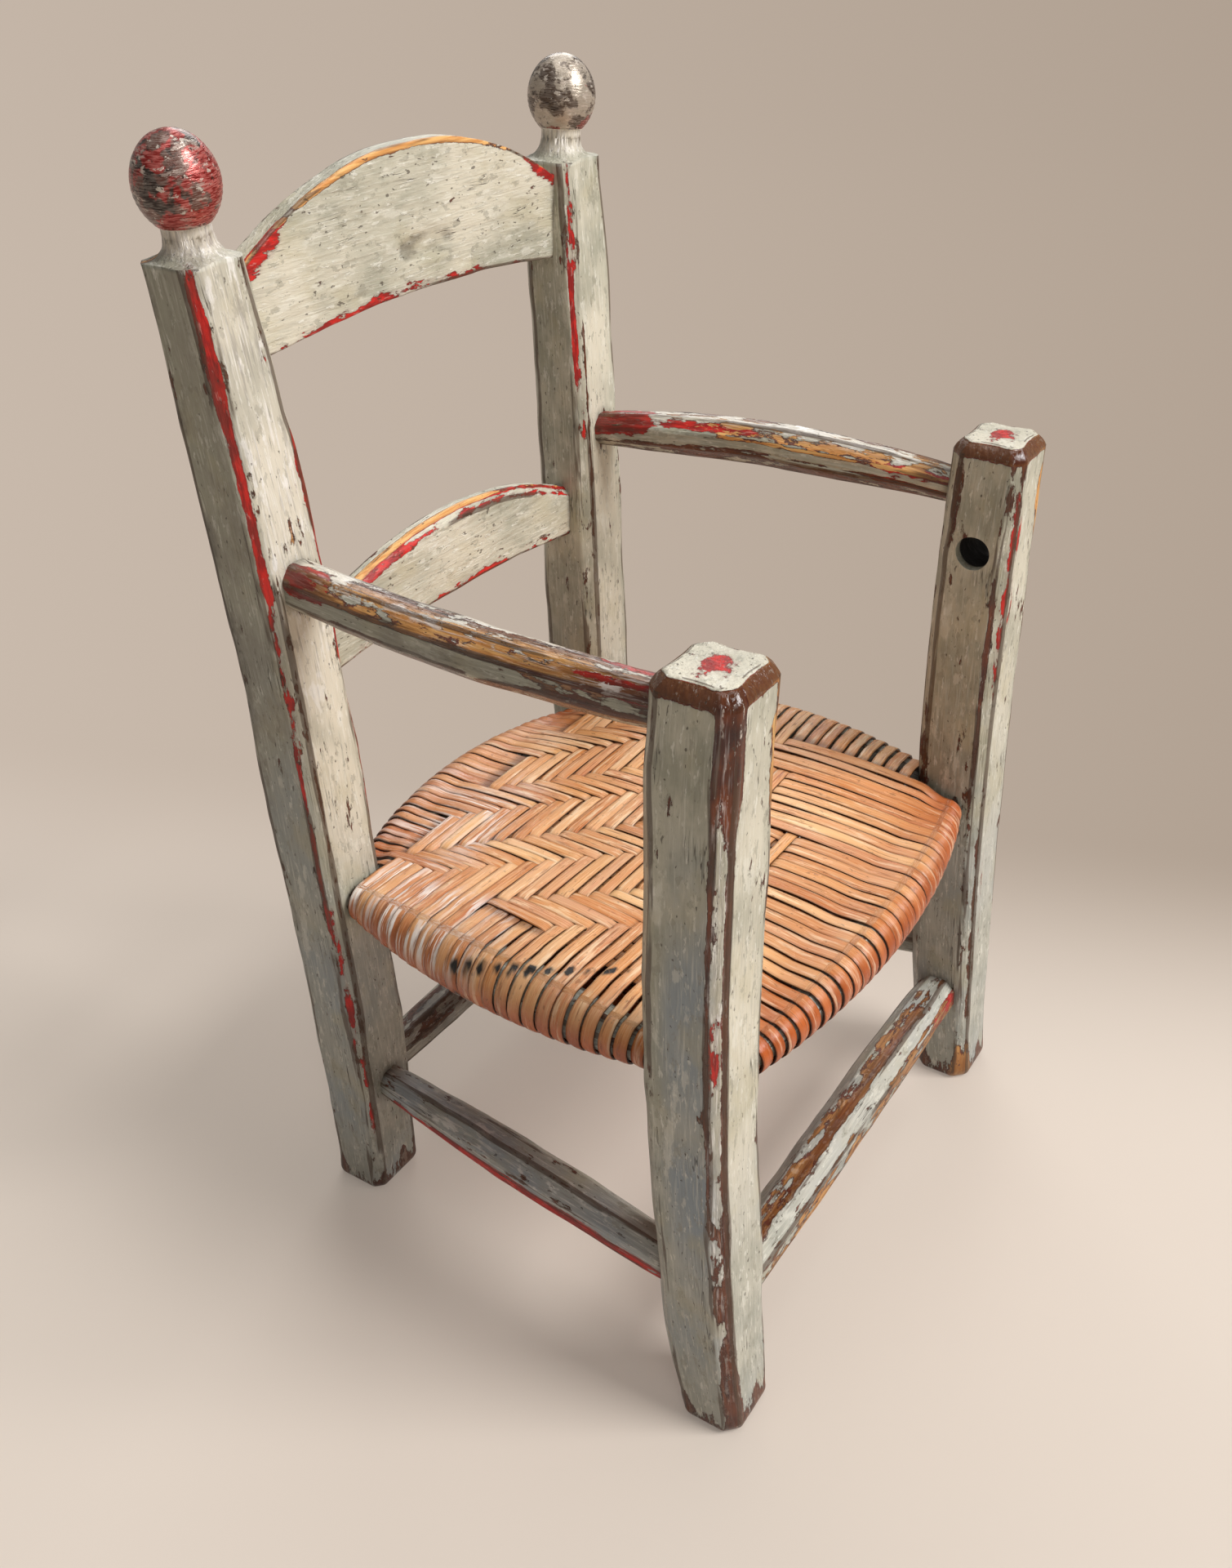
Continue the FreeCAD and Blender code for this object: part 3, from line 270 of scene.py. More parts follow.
def random_field(points, grain, seed):
    """A smooth random number between -1 and 1 at each point.

    Each corner of a lattice with cells of the grain's size has its own number from a hash, and
    between the corners the numbers fade into each other along all three axes.
    """
    cell = np.asarray(points) / grain
    base = np.floor(cell)
    fade = cell - base
    fade = fade * fade * (3 - 2 * fade)
    base = base.astype(np.int64)
    total = np.zeros(cell.shape[:-1])
    for corner in np.ndindex(2, 2, 2):
        spot = base + np.array(corner)
        key = (spot[..., 0] * 374761393 + spot[..., 1] * 668265263 + spot[..., 2] * 974634777
               + seed * 362437) & 0xFFFFFFFF
        key = ((key ^ (key >> 13)) * 1274126177) & 0xFFFFFFFF
        key ^= key >> 16
        weight = np.prod(np.where(np.array(corner), fade, 1 - fade), axis=-1)
        total += weight * (key / 2147483648.0 - 1)
    return total


def rough_field(points, grain, seed, octaves=3):
    """Random fields on finer and finer lattices, each half as strong as the one before."""
    return sum(random_field(points, grain / 2 ** n, seed + n) / 2 ** n for n in range(octaves))


def rough_line(along, aside, grain, seed, octaves=3):
    """A rough field read along one straight line through it, which lies aside of its origin."""
    spots = np.stack([along, np.full_like(along, aside), np.zeros_like(along)], -1)
    return rough_field(spots, grain, seed, octaves)


def through(levels, values, at):
    """A smooth curve through the values at the levels: cubic pieces with matching slopes."""
    levels, values = np.asarray(levels, float), np.asarray(values, float)
    slopes = np.gradient(values, levels, edge_order=2)
    index = np.clip(np.searchsorted(levels, at) - 1, 0, len(levels) - 2)
    gap = levels[index + 1] - levels[index]
    t = (at - levels[index]) / gap
    return ((1 + 2 * t) * (1 - t) ** 2 * values[index] + t * (1 - t) ** 2 * gap * slopes[index]
            + t * t * (3 - 2 * t) * values[index + 1] + t * t * (t - 1) * gap * slopes[index + 1])


# Meshes

def skin(name, points, quads, triangles, attributes):
    """A smooth-shaded object from points, four-sided and three-sided faces and point attributes."""
    mesh = bpy.data.meshes.new(f"{name}_finished")
    corners = np.concatenate([quads.ravel(), triangles.ravel()]).astype(np.int32)
    sizes = np.repeat([4, 3], [len(quads), len(triangles)])
    mesh.vertices.add(len(points))
    mesh.vertices.foreach_set("co", (points * MM).astype(np.float32).ravel())
    mesh.loops.add(len(corners))
    mesh.loops.foreach_set("vertex_index", corners)
    mesh.polygons.add(len(sizes))
    mesh.polygons.foreach_set("loop_start", (np.cumsum(sizes) - sizes).astype(np.int32))
    mesh.polygons.foreach_set("use_smooth", np.ones(len(sizes), dtype=bool))
    mesh.update(calc_edges=True)
    for key, value in attributes.items():
        layer = mesh.attributes.new(key, "FLOAT_VECTOR", "CORNER")
        layer.data.foreach_set("vector", value[corners].astype(np.float32).ravel())
    piece = bpy.data.objects.new(mesh.name, mesh)
    bpy.context.scene.collection.objects.link(piece)
    return piece


def closed_mesh(name, rings, attributes):
    """A closed skin over rings of points, with attributes at each point.

    The rings run anticlockwise seen from the last ring, and each end closes on its middle point.
    """
    rows, columns = rings.shape[:2]
    fields = {key: np.concatenate([field.reshape(rows * columns, -1), field[[0, -1]].mean(axis=1)])
              for key, field in {"points": rings, **attributes}.items()}
    here = np.arange(rows * columns).reshape(rows, columns)
    after = np.roll(here, -1, axis=1)
    quads = np.stack([here[:-1], after[:-1], after[1:], here[1:]], -1).reshape(-1, 4)
    low, high = np.full(columns, rows * columns), np.full(columns, rows * columns + 1)
    fans = np.concatenate([np.stack([low, after[0], here[0]], -1),
                           np.stack([high, here[-1], after[-1]], -1)])
    return skin(name, fields.pop("points"), quads, fans, fields)


def settle(piece, materials, slot, *nodes):
    """Give a finished piece its materials and its body, and let it stand for its nodes."""
    for material in materials:
        piece.data.materials.append(material)
    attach(piece, "root")
    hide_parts(*nodes)


# Hewn wood

def rounded_rings(corners, steps, round_over):
    """Rings round polygons with rounded arrises, and each point's distance from an arris.

    Each corner is a curve (1-t)²·before + 2t(1-t)·corner + t²·after, whose ends lie round_over
    away from the corner, and the points of a side are evenly spread between its two curves.
    """
    corners = np.stack([np.stack(np.broadcast_arrays(*corner), -1) for corner in corners], 1)
    sides = np.roll(corners, -1, axis=1) - corners
    lengths = np.linalg.norm(sides, axis=2, keepdims=True)
    headings = sides / lengths
    t = np.linspace(0, 1, ARC_STEPS, endpoint=False)[None, :, None]
    points, away = [], []
    for side, count in enumerate(steps):
        corner = corners[:, side, None]
        before = corner - headings[:, side - 1, None] * round_over
        after = corner + headings[:, side, None] * round_over
        points.append((1 - t) ** 2 * before + 2 * t * (1 - t) * corner + t * t * after)
        away.append(np.zeros((len(corners), ARC_STEPS)))
        share = np.linspace(0, 1, count, endpoint=False)[None, :, None]
        run = lengths[:, side, None] - 2 * round_over
        points.append(after + headings[:, side, None] * (run * share))
        away.append((np.minimum(share, 1 - share) * run)[..., 0])
    return np.concatenate(points, axis=1), np.concatenate(away, axis=1)


def hewn_rings(along, half_x, half_y, chamfer, wander, seed, round_over):
    """Octagons: rectangles of the half widths with their corners cut off.

    Each of the four cuts wanders along the piece, as a drawknife leaves it, over some 46 mm.
    """
    right_front, right_back, left_back, left_front = (
        chamfer + wander * rough_line(along, 97.0 * n, 46, seed + n) for n in range(4))
    return rounded_rings([
        (half_x, right_front - half_y), (half_x, half_y - right_back),
        (half_x - right_back, half_y), (left_back - half_x, half_y),
        (-half_x, half_y - left_back), (-half_x, left_front - half_y),
        (left_front - half_x, -half_y), (half_x - right_front, -half_y)], FACET_STEPS, round_over)


def hewn_dents(flow, seed, depth):
    """How far the tool took the wood below the true face, between 0 and the depth."""
    long_grain = flow * np.array([1, 1, 0.45])
    return depth * (0.5 + 0.5 * np.clip(rough_field(long_grain, 17, seed), -1, 1))


def carve(flow, seed, depth, least):
    """Rings drawn in by the tool's dents, as if no point were nearer its axis than the least."""
    radius = np.maximum(np.linalg.norm(flow[..., :2], axis=-1), least)
    return flow[..., :2] * (1 - hewn_dents(flow, seed, depth) / radius)[..., None]


def with_ends(count, low, high=()):
    """Row numbers and sizes of rings that close in on the middle past the first and last row."""
    rows = np.concatenate([np.zeros(len(low), int), np.arange(count),
                           np.full(len(high), count - 1)])
    return rows, np.concatenate([low, np.ones(count), high])


def wear(layers, field, amounts):
    """Adds a field to several layers of wear and painted light, each time by its own amount."""
    for layer, amount in amounts.items():
        layers[..., layer] += amount * field


def marked_layers(name, ring, along):
    """The layers of wear and painted light with a piece's own marks, soft-edged patches
    on its facets.

    A mark fades over a quarter of its length either side of each end, and sideways from 0.5 to
    1.3 times its half width. The distance aside is taken round the ring.
    """
    layers = np.zeros(ring.shape[:2] + (8,))
    steps = np.linalg.norm(np.roll(ring, -1, axis=1) - ring, axis=2)
    round_way = np.cumsum(steps, axis=1) - steps
    girth = steps.sum(axis=1, keepdims=True)
    for facet, marks in MARKS.get(name, {}).items():
        for layer, low, high, wide, strength, *aside in marks:
            middle = round_way[:, COLUMN[facet], None] + sum(aside)
            off = np.abs((round_way - middle + girth / 2) % girth - girth / 2)
            fade = (high - low) / 4
            tall = (ramp(along, low - fade, low + fade)
                    * (1 - ramp(along, high - fade, high + fade)))
            layers[..., layer] += strength * tall * (1 - ramp(off, wide * 0.5, wide * 1.3))
    return layers


def dress_wood(name, rings, layers, away, flow):
    """The skin of one painted piece, with where its paint is worn and how its grain runs."""
    # The grime layer also holds painted shade, the pale layer painted light on lit faces, the cool
    # layer painted shade, and the polish layer a painted sheen
    finish = np.stack([np.exp(-away / 1.4), layers[..., COOL_AND_SHADE], layers[..., POLISH_AND_SHEEN]], -1)
    return closed_mesh(name, rings, {"wear": layers[..., :3], "tint": layers[..., 3:6],
                                     "flow": flow * MM, "finish": finish})


def within_box(name, points):
    """Points kept inside the box of the node that they stand for."""
    low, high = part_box(name)
    return np.clip(points, np.array(low) / MM, np.array(high) / MM)


# Posts

def near_joints(points):
    """1 at the mouths of the spindles' sockets, fading to 0 within 5 mm of them."""
    mouths = [mouth for start, end, half, *_ in SPINDLES.values()
              for mouth in ((start, half[0]), (end, half[2]))]
    closest = np.min([np.linalg.norm(points - np.array(where), axis=-1) - radius
                      for where, radius in mouths], axis=0)
    return 1 - ramp(closest, 0, 5)


def bevelled_top(edge):
    """Rings over a front post's bevel and in over its end grain, their levels and distances.

    The bevel is a blend of a straight slope and a quarter round.
    """
    turn = np.linspace(0, 1, 9)[1:]
    inset = TOP_BEVEL * (0.55 * turn + 0.45 * (1 - np.cos(turn * np.pi / 2)))
    lift = TOP_BEVEL * (0.55 * turn + 0.45 * np.sin(turn * np.pi / 2))
    radius = np.linalg.norm(edge, axis=-1)
    bevel = edge * (1 - inset[:, None] / radius)[..., None]
    shares = np.array([0.93, 0.84, 0.72, 0.58, 0.43, 0.28, 0.13])[:, None]
    rings = np.concatenate([bevel, bevel[-1] * shares[..., None]])
    level = np.concatenate([FRONT_TOP - TOP_BEVEL + lift, np.full(len(shares), FRONT_TOP)])
    away = np.concatenate([np.minimum(inset, TOP_BEVEL - inset)[:, None] + 0 * radius,
                           (1 - shares) * radius * 0.6])
    return rings, np.repeat(level[:, None], len(edge), 1), away


def cove_height(radius):
    """Height of the hollow arc of the cove above the shoulder, at a radius from its axis."""
    off = np.clip(NECK + COVE - radius, 0, COVE)
    return COVE - SINK - np.sqrt(COVE ** 2 - off ** 2)


def finial_profile():
    """Radii and heights of the neck and the ball above the shoulder, from the cove to the top.

    The ball is a wide arc up from the neck and a tighter one over the top, which meet smoothly.
    """
    drop = BALL_TALL - BALL_CAP
    side = (BALL_WIDE ** 2 + drop ** 2 - BALL_CAP ** 2) / (2 * (BALL_WIDE - BALL_CAP))
    inset = side - BALL_WIDE
    join = math.atan2(drop, inset)
    waist = -math.acos((NECK + inset) / side)
    cove_top = COVE - SINK
    turn = np.linspace(waist, join, 30)
    over = np.linspace(join, np.pi / 2, 16)[1:-1]
    radii = np.concatenate([[NECK, NECK], side * np.cos(turn) - inset, BALL_CAP * np.cos(over)])
    heights = np.concatenate([
        [cove_top, (cove_top + BALL_HEIGHT + side * math.sin(waist)) / 2],
        BALL_HEIGHT + side * np.sin(turn), BALL_HEIGHT + drop + BALL_CAP * np.sin(over)])
    return radii, heights


def turned_top(edge):
    """Rings over a back post's cove, neck and ball, their levels and distances from an arris.

    The cove's rings shrink from the shoulder's octagon to the neck. The ball carries the lathe's
    fine ripples, and its columns spread evenly, so that no facet shows on it.
    """
    rim = np.linalg.norm(edge, axis=-1)
    shares = np.linspace(0, 1, 14)[1:, None]
    cove = rim + (NECK - rim) * shares
    cove_level = SHOULDER + cove_height(cove) + 0.5 * SINK * (1 - shares)
    radii, rises = finial_profile()
    radii = radii + (0.10 * np.sin(rises * 2 * np.pi / 2.3) * ramp(rises, 12, 16)
                     * (1 - ramp(rises, 28, 34)))
    bearing = np.arctan2(edge[:, 1], edge[:, 0])
    bearing = bearing[0] + (bearing - bearing[0]) % (2 * np.pi)
    even = bearing[0] + np.linspace(0, 2 * np.pi, len(edge), endpoint=False)
    mix = ramp(rises, 9, 16)[:, None]
    bearing = bearing * (1 - mix) + even * mix
    ball = np.stack([np.cos(bearing), np.sin(bearing)], -1) * radii[:, None, None]
    rings = np.concatenate([edge / rim[:, None] * cove[..., None], ball])
    level = np.concatenate([cove_level, np.repeat(SHOULDER + rises[:, None], len(edge), 1)])
    away = np.full(level.shape, 30.0)
    away[:2] = [[1.2], [3.0]]
    return rings, level, away


def post(side, row, wood):
    """A post: hewn octagons on its leaning axis, from its rounded foot to its top."""
    item, sign, name = POSTS[row], SIDES[side], f"{row}_post_{side}"
    seed, levels = item["seeds"][side], item["height"]
    foot_round = wood.foot_round / MM
    # Rings lie close together on the rounded foot, then evenly
    curl = foot_round * (1 - np.cos(np.linspace(0, np.pi / 2, 9)))
    level = np.concatenate([curl[:-1], np.linspace(foot_round, levels[-1],
                                                   int((levels[-1] - foot_round) / POST_GAP))])
    up = np.maximum(level, levels[0])
    worn = 1 - np.sqrt(1 - (1 - np.clip(level / foot_round, 0, 1)) ** 2)
    half = through(levels, item["half"], up) - FOOT_WEAR * worn
    ring, away = hewn_rings(level, half, half - item["planing"], item["chamfer"], 1.3, seed,
                            wood.arris / MM)
    axis = np.stack([sign * (item["foot"][0] + through(levels, item["out"], up)),
                     item["foot"][1] + through(levels, item["back"], up)], -1)
    rows, size = with_ends(len(level), np.linspace(0.12, 1, 4, endpoint=False))
    ring, away = ring[rows] * size[:, None, None], away[rows] + 3 * (size < 1)[:, None]
    level = np.repeat(level[rows][:, None], ring.shape[1], 1)
    if row == "front":
        top = bevelled_top(ring[-1])
    else:
        # The cove cuts into the shaft's top in a scallop on each facet
        scallop = cove_height(np.linalg.norm(ring[-1], axis=-1)) + 0.5 * SINK
        level += ramp(level, SHOULDER - 18, SHOULDER) * scallop
        top = turned_top(ring[-1])
    shaft_rows = len(ring)
    ring, level, away = (np.concatenate(parts) for parts in zip((ring, level, away), top))
    axis = np.concatenate([axis[rows], np.repeat(axis[-1:], len(ring) - shaft_rows, 0)])

    flow = np.concatenate([ring, level[..., None]], -1)
    hewn = ramp(level, 0, 12) * (1 - ramp(level, SHOULDER - 3, SHOULDER + 4))
    x, y = np.moveaxis(carve(flow, seed, wood.dents / MM * hewn, 6) + axis[:, None], -1, 0)
    # Above the shoulder everything leans outwards about the middle of the shoulder
    lean = sign * FINIAL_LEAN * ramp(level, SHOULDER - 1, SHOULDER + 9)
    off_x, off_z = x - axis[-1, 0], level - SHOULDER
    points = np.stack([axis[-1, 0] + off_x * np.cos(lean) + off_z * np.sin(lean), y,
                       SHOULDER + off_z * np.cos(lean) - off_x * np.sin(lean)], -1)

    layers = marked_layers(name, ring, level)
    # Painted shade round the mouths of the spindles' sockets, with a little bare wood there
    wear(layers, near_joints(points), {GRIME_AND_SHADE: 0.8, WOOD: 0.18})
    wear(layers, 1 - ramp(level, 2, 26), item["worn_foot"])
    # Painted shade, cool and bluish grey, low down on the post
    wear(layers, 1 - ramp(level, 60, 300), {COOL_AND_SHADE: 1.0})
    # Above the shoulder the neck is paler and rubbed to a shine, with a painted sheen
    wear(layers, ramp(level, SHOULDER + 1, SHOULDER + 5), {PALE_AND_LIT: 1.0, WOOD: -0.15, POLISH_AND_SHEEN: 1.2})
    if row == "front":
        crown = ramp(level, FRONT_TOP - 1.2, FRONT_TOP - 0.3)
        rim = ramp(level, FRONT_TOP - 8.5, FRONT_TOP - 6) * (1 - crown)
        patch = np.exp(-((ring[..., 0] - 1) / 11) ** 2 - ((ring[..., 1] + 1) / 7) ** 2)
        wear(layers, 1.0, {VARNISH: 0.10 if side == "left" else 0.04})
        layers *= 1 - crown[..., None]
        wear(layers, rim, {WOOD: 0.40, WARM: 0.45, RED: 0.15, GRIME_AND_SHADE: 0.8, VARNISH: 0.62})
        wear(layers, crown, {RED: 0.9 * patch, PALE_AND_LIT: 1.2})
    piece = dress_wood(name, within_box(name, points), layers, away, flow)
    if row == "back":
        # The ball's gloss starts where the neck is narrowest, and takes in the fan on its top
        number = np.arange(len(piece.data.polygons))
        first, fans = (np.array([shaft_rows + NECK_RINGS, len(ring) - 1]) * ring.shape[1])
        ball = (number >= first) & (number < fans) | (number >= fans + ring.shape[1])
        piece.data.polygons.foreach_set("material_index", ball.astype(np.int32))
    return piece


def guard_hole(piece, side):
    """Bore the guard bar's hole, right through on the right and part way in on the left.

    The cutter is a cylinder along X, a little out of round. On the right it runs 30 mm past the
    post's axis both ways, and on the left from the blind end to 20 mm clear of the inner face.
    """
    axis = POSTS["front"]["foot"][0] - HOLE_LEAN
    inner = axis - POSTS["front"]["half"][3]
    ends = (axis - 30, axis + 30) if side == "right" else (-inner - HOLE_BLIND, 20 - inner)
    turn = np.linspace(0, 2 * np.pi, 48, endpoint=False) + 0.031
    radius = HOLE_RADIUS * (1 + 0.012 * np.sin(3 * turn))
    x = np.linspace(*ends, 41)[:, None]
    rings = np.stack(np.broadcast_arrays(x, HOLE_BACK + radius * np.cos(turn),
                                         HOLE_HEIGHT + radius * np.sin(turn)), -1)
    layers = np.zeros(rings.shape[:2] + (8,))
    # Painted shade inside the holes: the one on the right darkens from its inner mouth on, and
    # the blind one is dark all along
    depth = np.abs(rings[..., 0] - inner + 0.2) if side == "right" else 8 + 0 * rings[..., 0]
    layers[..., WOOD] = 0.6 * ramp(depth, 3, 6)
    layers[..., GRIME_AND_SHADE] = 0.2 + 2.4 * ramp(depth, 4.5, 8)
    layers[..., VARNISH] = -0.6
    cutter = dress_wood("guard_cutter", rings, layers, np.full(rings.shape[:2], 30.0), rings)
    cut = piece.modifiers.new("guard_bar_hole", "BOOLEAN")
    cut.operation = "DIFFERENCE"
    cut.solver = "EXACT"
    cut.object = cutter
    with bpy.context.temp_override(object=piece, active_object=piece, selected_objects=[piece]):
        bpy.ops.object.modifier_apply(modifier=cut.name)
    bpy.data.meshes.remove(cutter.data)
    # The cut leaves many-sided faces along the hole's rim, which are split here
    shape = bmesh.new()
    shape.from_mesh(piece.data)
    wide = [face for face in shape.faces if len(face.verts) > 4]
    bmesh.ops.triangulate(shape, faces=wide, quad_method="BEAUTY", ngon_method="BEAUTY")
    shape.to_mesh(piece.data)
    shape.free()
    piece.data.set_sharp_from_angle(angle=math.radians(60))


# Spindles

def spindle_axes(name):
    """A spindle's start, its run, its length on the level and the directions along and left."""
    start, end = (np.array(point, float) for point in SPINDLES[name][:2])
    length = math.hypot(*(end - start)[:2])
    along = (end - start) * [1, 1, 0] / length
    return start, end - start, length, along, np.cross(UP, along)


def spindle_line(name, share):
    """Middle line and half thickness at shares s of the length.

    The thickness is the parabola through its three sizes, and the line swells by 4s(1-s).
    """
    start, run, _, _, left = spindle_axes(name)
    _, _, (first, middle, last), crown, bow = SPINDLES[name]
    swell = 4 * share * (1 - share)
    half = first * (1 - share) * (1 - 2 * share) + middle * swell + last * share * (2 * share - 1)
    return start + run * share[:, None] + (UP * crown + left * bow) * swell[:, None], half


def spindle(name, seed):
    """A shaved eight-sided spindle: octagons of a swelling half width along its middle line.

    A ring's own X points to the spindle's left and its Y up, so its "back" facet is on top.
    """
    _, _, length, _, left = spindle_axes(name)
    distance = np.linspace(-SPINDLE_SEAT, length + SPINDLE_SEAT, int(length / BOARD_GAP))
    line, half = spindle_line(name, distance / length)
    ring, away = hewn_rings(distance, half, half, half * (2 - math.sqrt(2)), 0.9, seed, 1.3)
    rows, size = with_ends(len(distance), [0.15, 0.5, 0.85], [0.85, 0.5, 0.15])
    ring, away = ring[rows] * size[:, None, None], away[rows] + 9 * (size < 1)[:, None]
    along = np.repeat(distance[rows][:, None], ring.shape[1], 1)
    flow = np.concatenate([ring, along[..., None]], -1)
    carved = carve(flow, seed, 1.0, 4)
    points = line[rows][:, None] + carved[..., :1] * left + carved[..., 1:] * UP
    layers = marked_layers(name, ring, along)
    # Painted shade at both ends, where the spindle runs into its posts
    wear(layers, 1 - ramp(np.minimum(along, length - along), 0, 5), {GRIME_AND_SHADE: 0.9})
    # Painted shade on the underside
    wear(layers, ramp(-carved[..., 1], 0.1 * half.max(), 0.9 * half.max()), {GRIME_AND_SHADE: 0.35})
    # Painted shade, cool and bluish grey, stronger on the rungs and rails than on the arms
    wear(layers, 1.0, {COOL_AND_SHADE: 0.1 if name.endswith("arm") else 0.7})
    return dress_wood(name, points, layers, away, flow + UP * 50 * seed)


# Slats

def edge_arc(x, reach, end, rise):
    """Height of an arc that passes through the end at the reach and rises in the middle."""
    radius = (reach ** 2 + rise ** 2) / (2 * rise)
    return end + rise - radius + np.sqrt(radius ** 2 - np.minimum(np.abs(x), reach) ** 2)


def slat(name):
    """An arched board: rounded rectangles along X between a lower and an upper arc."""
    item, half = SLATS[name], SLAT_THICKNESS / 2
    seed, inner, bevel = item["seed"], item["inner"], item["bevel"]
    x = np.linspace(-inner - 2, inner + 2, int(2 * (inner + 2) / BOARD_GAP))
    low_rise, top_rise = item["rises"]
    bottom = (edge_arc(x, inner, item["bottom"], low_rise) + 0.4
              + 0.4 * rough_line(x, seed, 26, seed + 5))
    top = (edge_arc(x, inner, item["top"], top_rise) - 0.5 - 0.5 * rough_line(x, seed, 30, seed))
    corners, steps = [(-half, bottom), (half, bottom), (half, top), (-half, top)], (6, 30, 6, 30)
    if bevel:
        # The front of the top edge is shaved off at an angle
        cut = bevel + 0.7 * rough_line(x, seed, 22, seed + 9)
        corners[3:], steps = [(cut - half, top), (-half, top - cut)], (6, 30, 6, 6, 30)
    ring, away = rounded_rings(corners, steps, 1.2)
    through_board, up = ring[..., 0], ring[..., 1]
    wide = np.repeat(x[:, None], ring.shape[1], 1)
    # Grain coordinates: across the board, through it, and along it
    flow = np.stack([up, through_board, wide], -1)
    dents = hewn_dents(flow, seed, 0.8)
    middle = ((bottom + top) / 2)[:, None]
    depth = through_board * (1 - dents / half * 0.8)
    height = middle + (up - middle) * (1 - 0.3 * dents / 20)

    layers = np.zeros(ring.shape[:2] + (8,))
    front = through_board < 1.5 - half
    below_top, above_bottom = top[:, None] - up, up - bottom[:, None]
    middle_run = 1 - ramp(np.abs(wide + 15), 45, 90)
    bare_run = 1 - ramp(np.abs(wide + item["bare"]), 40, 85)
    top_arris = 1 - ramp(np.hypot(through_board - bevel + half, below_top), 1.2, 2.6)
    low_edge = (1 - ramp(above_bottom, 2, 7.5)) * front
    wear(layers, low_edge * (0.3 + 0.7 * middle_run), {RED: 0.36})
    wear(layers, top_arris, {WOOD: 0.25 + 0.75 * bare_run, WARM: 1.2})
    # Painted shade along the underside of the lower edge, and at both ends where the slat meets the
    # posts
    wear(layers, 1 - ramp(above_bottom, 0.2, 1.4), {GRIME_AND_SHADE: 0.7})
    wear(layers, ramp(np.abs(wide), inner - 3, inner), {GRIME_AND_SHADE: 1.2})
    wear(layers, 1.0, {PALE_AND_LIT: 1.0})
    if name == "crest_slat":
        # A shallow gouge in the front, with painted shade round its rim, and red at both upper ends
        off = (((wide - 6.5) / 21) ** 4 + ((height - 496) / 5.2) ** 4) ** 0.25
        hollow = (1 - ramp(off, 0.76, 1.0)) * (0.75 + 0.25 * rough_field(flow, 9, 3))
        depth = depth + 1.9 * hollow * (through_board < 0)
        hollow = np.clip(hollow, 0, 1)
        left_end = ramp(-wide, 84, 96) * (1 - ramp(below_top, 4, 13))
        right_end = ramp(wide, 84, 100) * (1 - ramp(below_top, 3, 9))
        wear(layers, front, {GRIME_AND_SHADE: 4.6 * hollow * (1 - hollow), RED: 0.75 * (left_end + right_end)})
    else:
        shaved = (1 - ramp(below_top, 4, 6)) * (through_board < -0.5)
        wear(layers, shaved, {RED: 0.21 + 0.21 * ramp(np.abs(wide), 15, 55)})
    points = within_box(name, np.stack([wide, item["plane"] + depth, height], -1))
    rows, size = with_ends(len(x), [0.1, 0.5], [0.5, 0.1])
    core = points[rows].mean(axis=1, keepdims=True)
    points = core + (points[rows] - core) * size[:, None, None]
    return dress_wood(name, points, layers[rows], away[rows], flow[rows] + UP * 70 * seed)


# Woven seat

def rail_where(name, axis, value):
    """Middle point and half thickness of a rail where its X or Y has the value."""
    line, half = spindle_line(name, np.linspace(-0.02, 1.02, 420))
    order = np.argsort(line[:, axis])
    spot = [np.interp(value, line[order, axis], line[order, n]) for n in range(3)]
    return np.array(spot), np.interp(value, line[order, axis], half[order])


def rail_face(name, place, face):
    """Height of a rail's upper (1) or lower (-1) face, at a place from -1 to 1 along it."""
    start, _, half, crown, _ = SPINDLES[name]
    ends = (half[0] + half[2]) / 2
    swell = 1 - place ** 2
    return start[2] + crown * swell + face * (ends + (half[1] - ends) * swell)


def seat_surface(u, v, face):
    """Height of the woven sheet at shares u across and v along the seat, both from -1 to 1.

    It meets the side rails' height at the sides and the end rails' height at the front and back,
    and between them it is nearly level.
    """
    centre, corner = SHEET[face]
    beside = np.abs(u) ** 3 * (1 - v ** 4)
    along = np.abs(v) ** 3 * (1 - u ** 4)
    return (rail_face("left_seat_rail", v, face) * beside
            + rail_face("front_seat_rail", u, face) * along
            + (centre + corner * np.abs(u * v) ** 3) * (1 - beside - along))


def weft_is_over(warp, weft):
    """Which strand shows: a twill that steps one warp across for each weft, with a few slips."""
    over = (warp + weft - TWILL_START) % TWILL < WEFT_OVER
    # Along the front and towards its right the warps run long, and by the left rail the wefts do
    long_warp = (weft < 3) | ((warp > 19) & (weft < 7) & (warp + weft > 24))
    long_weft = (warp < 1) & ((weft < 8) | (weft > 16))
    return (over & ~long_warp) | long_weft


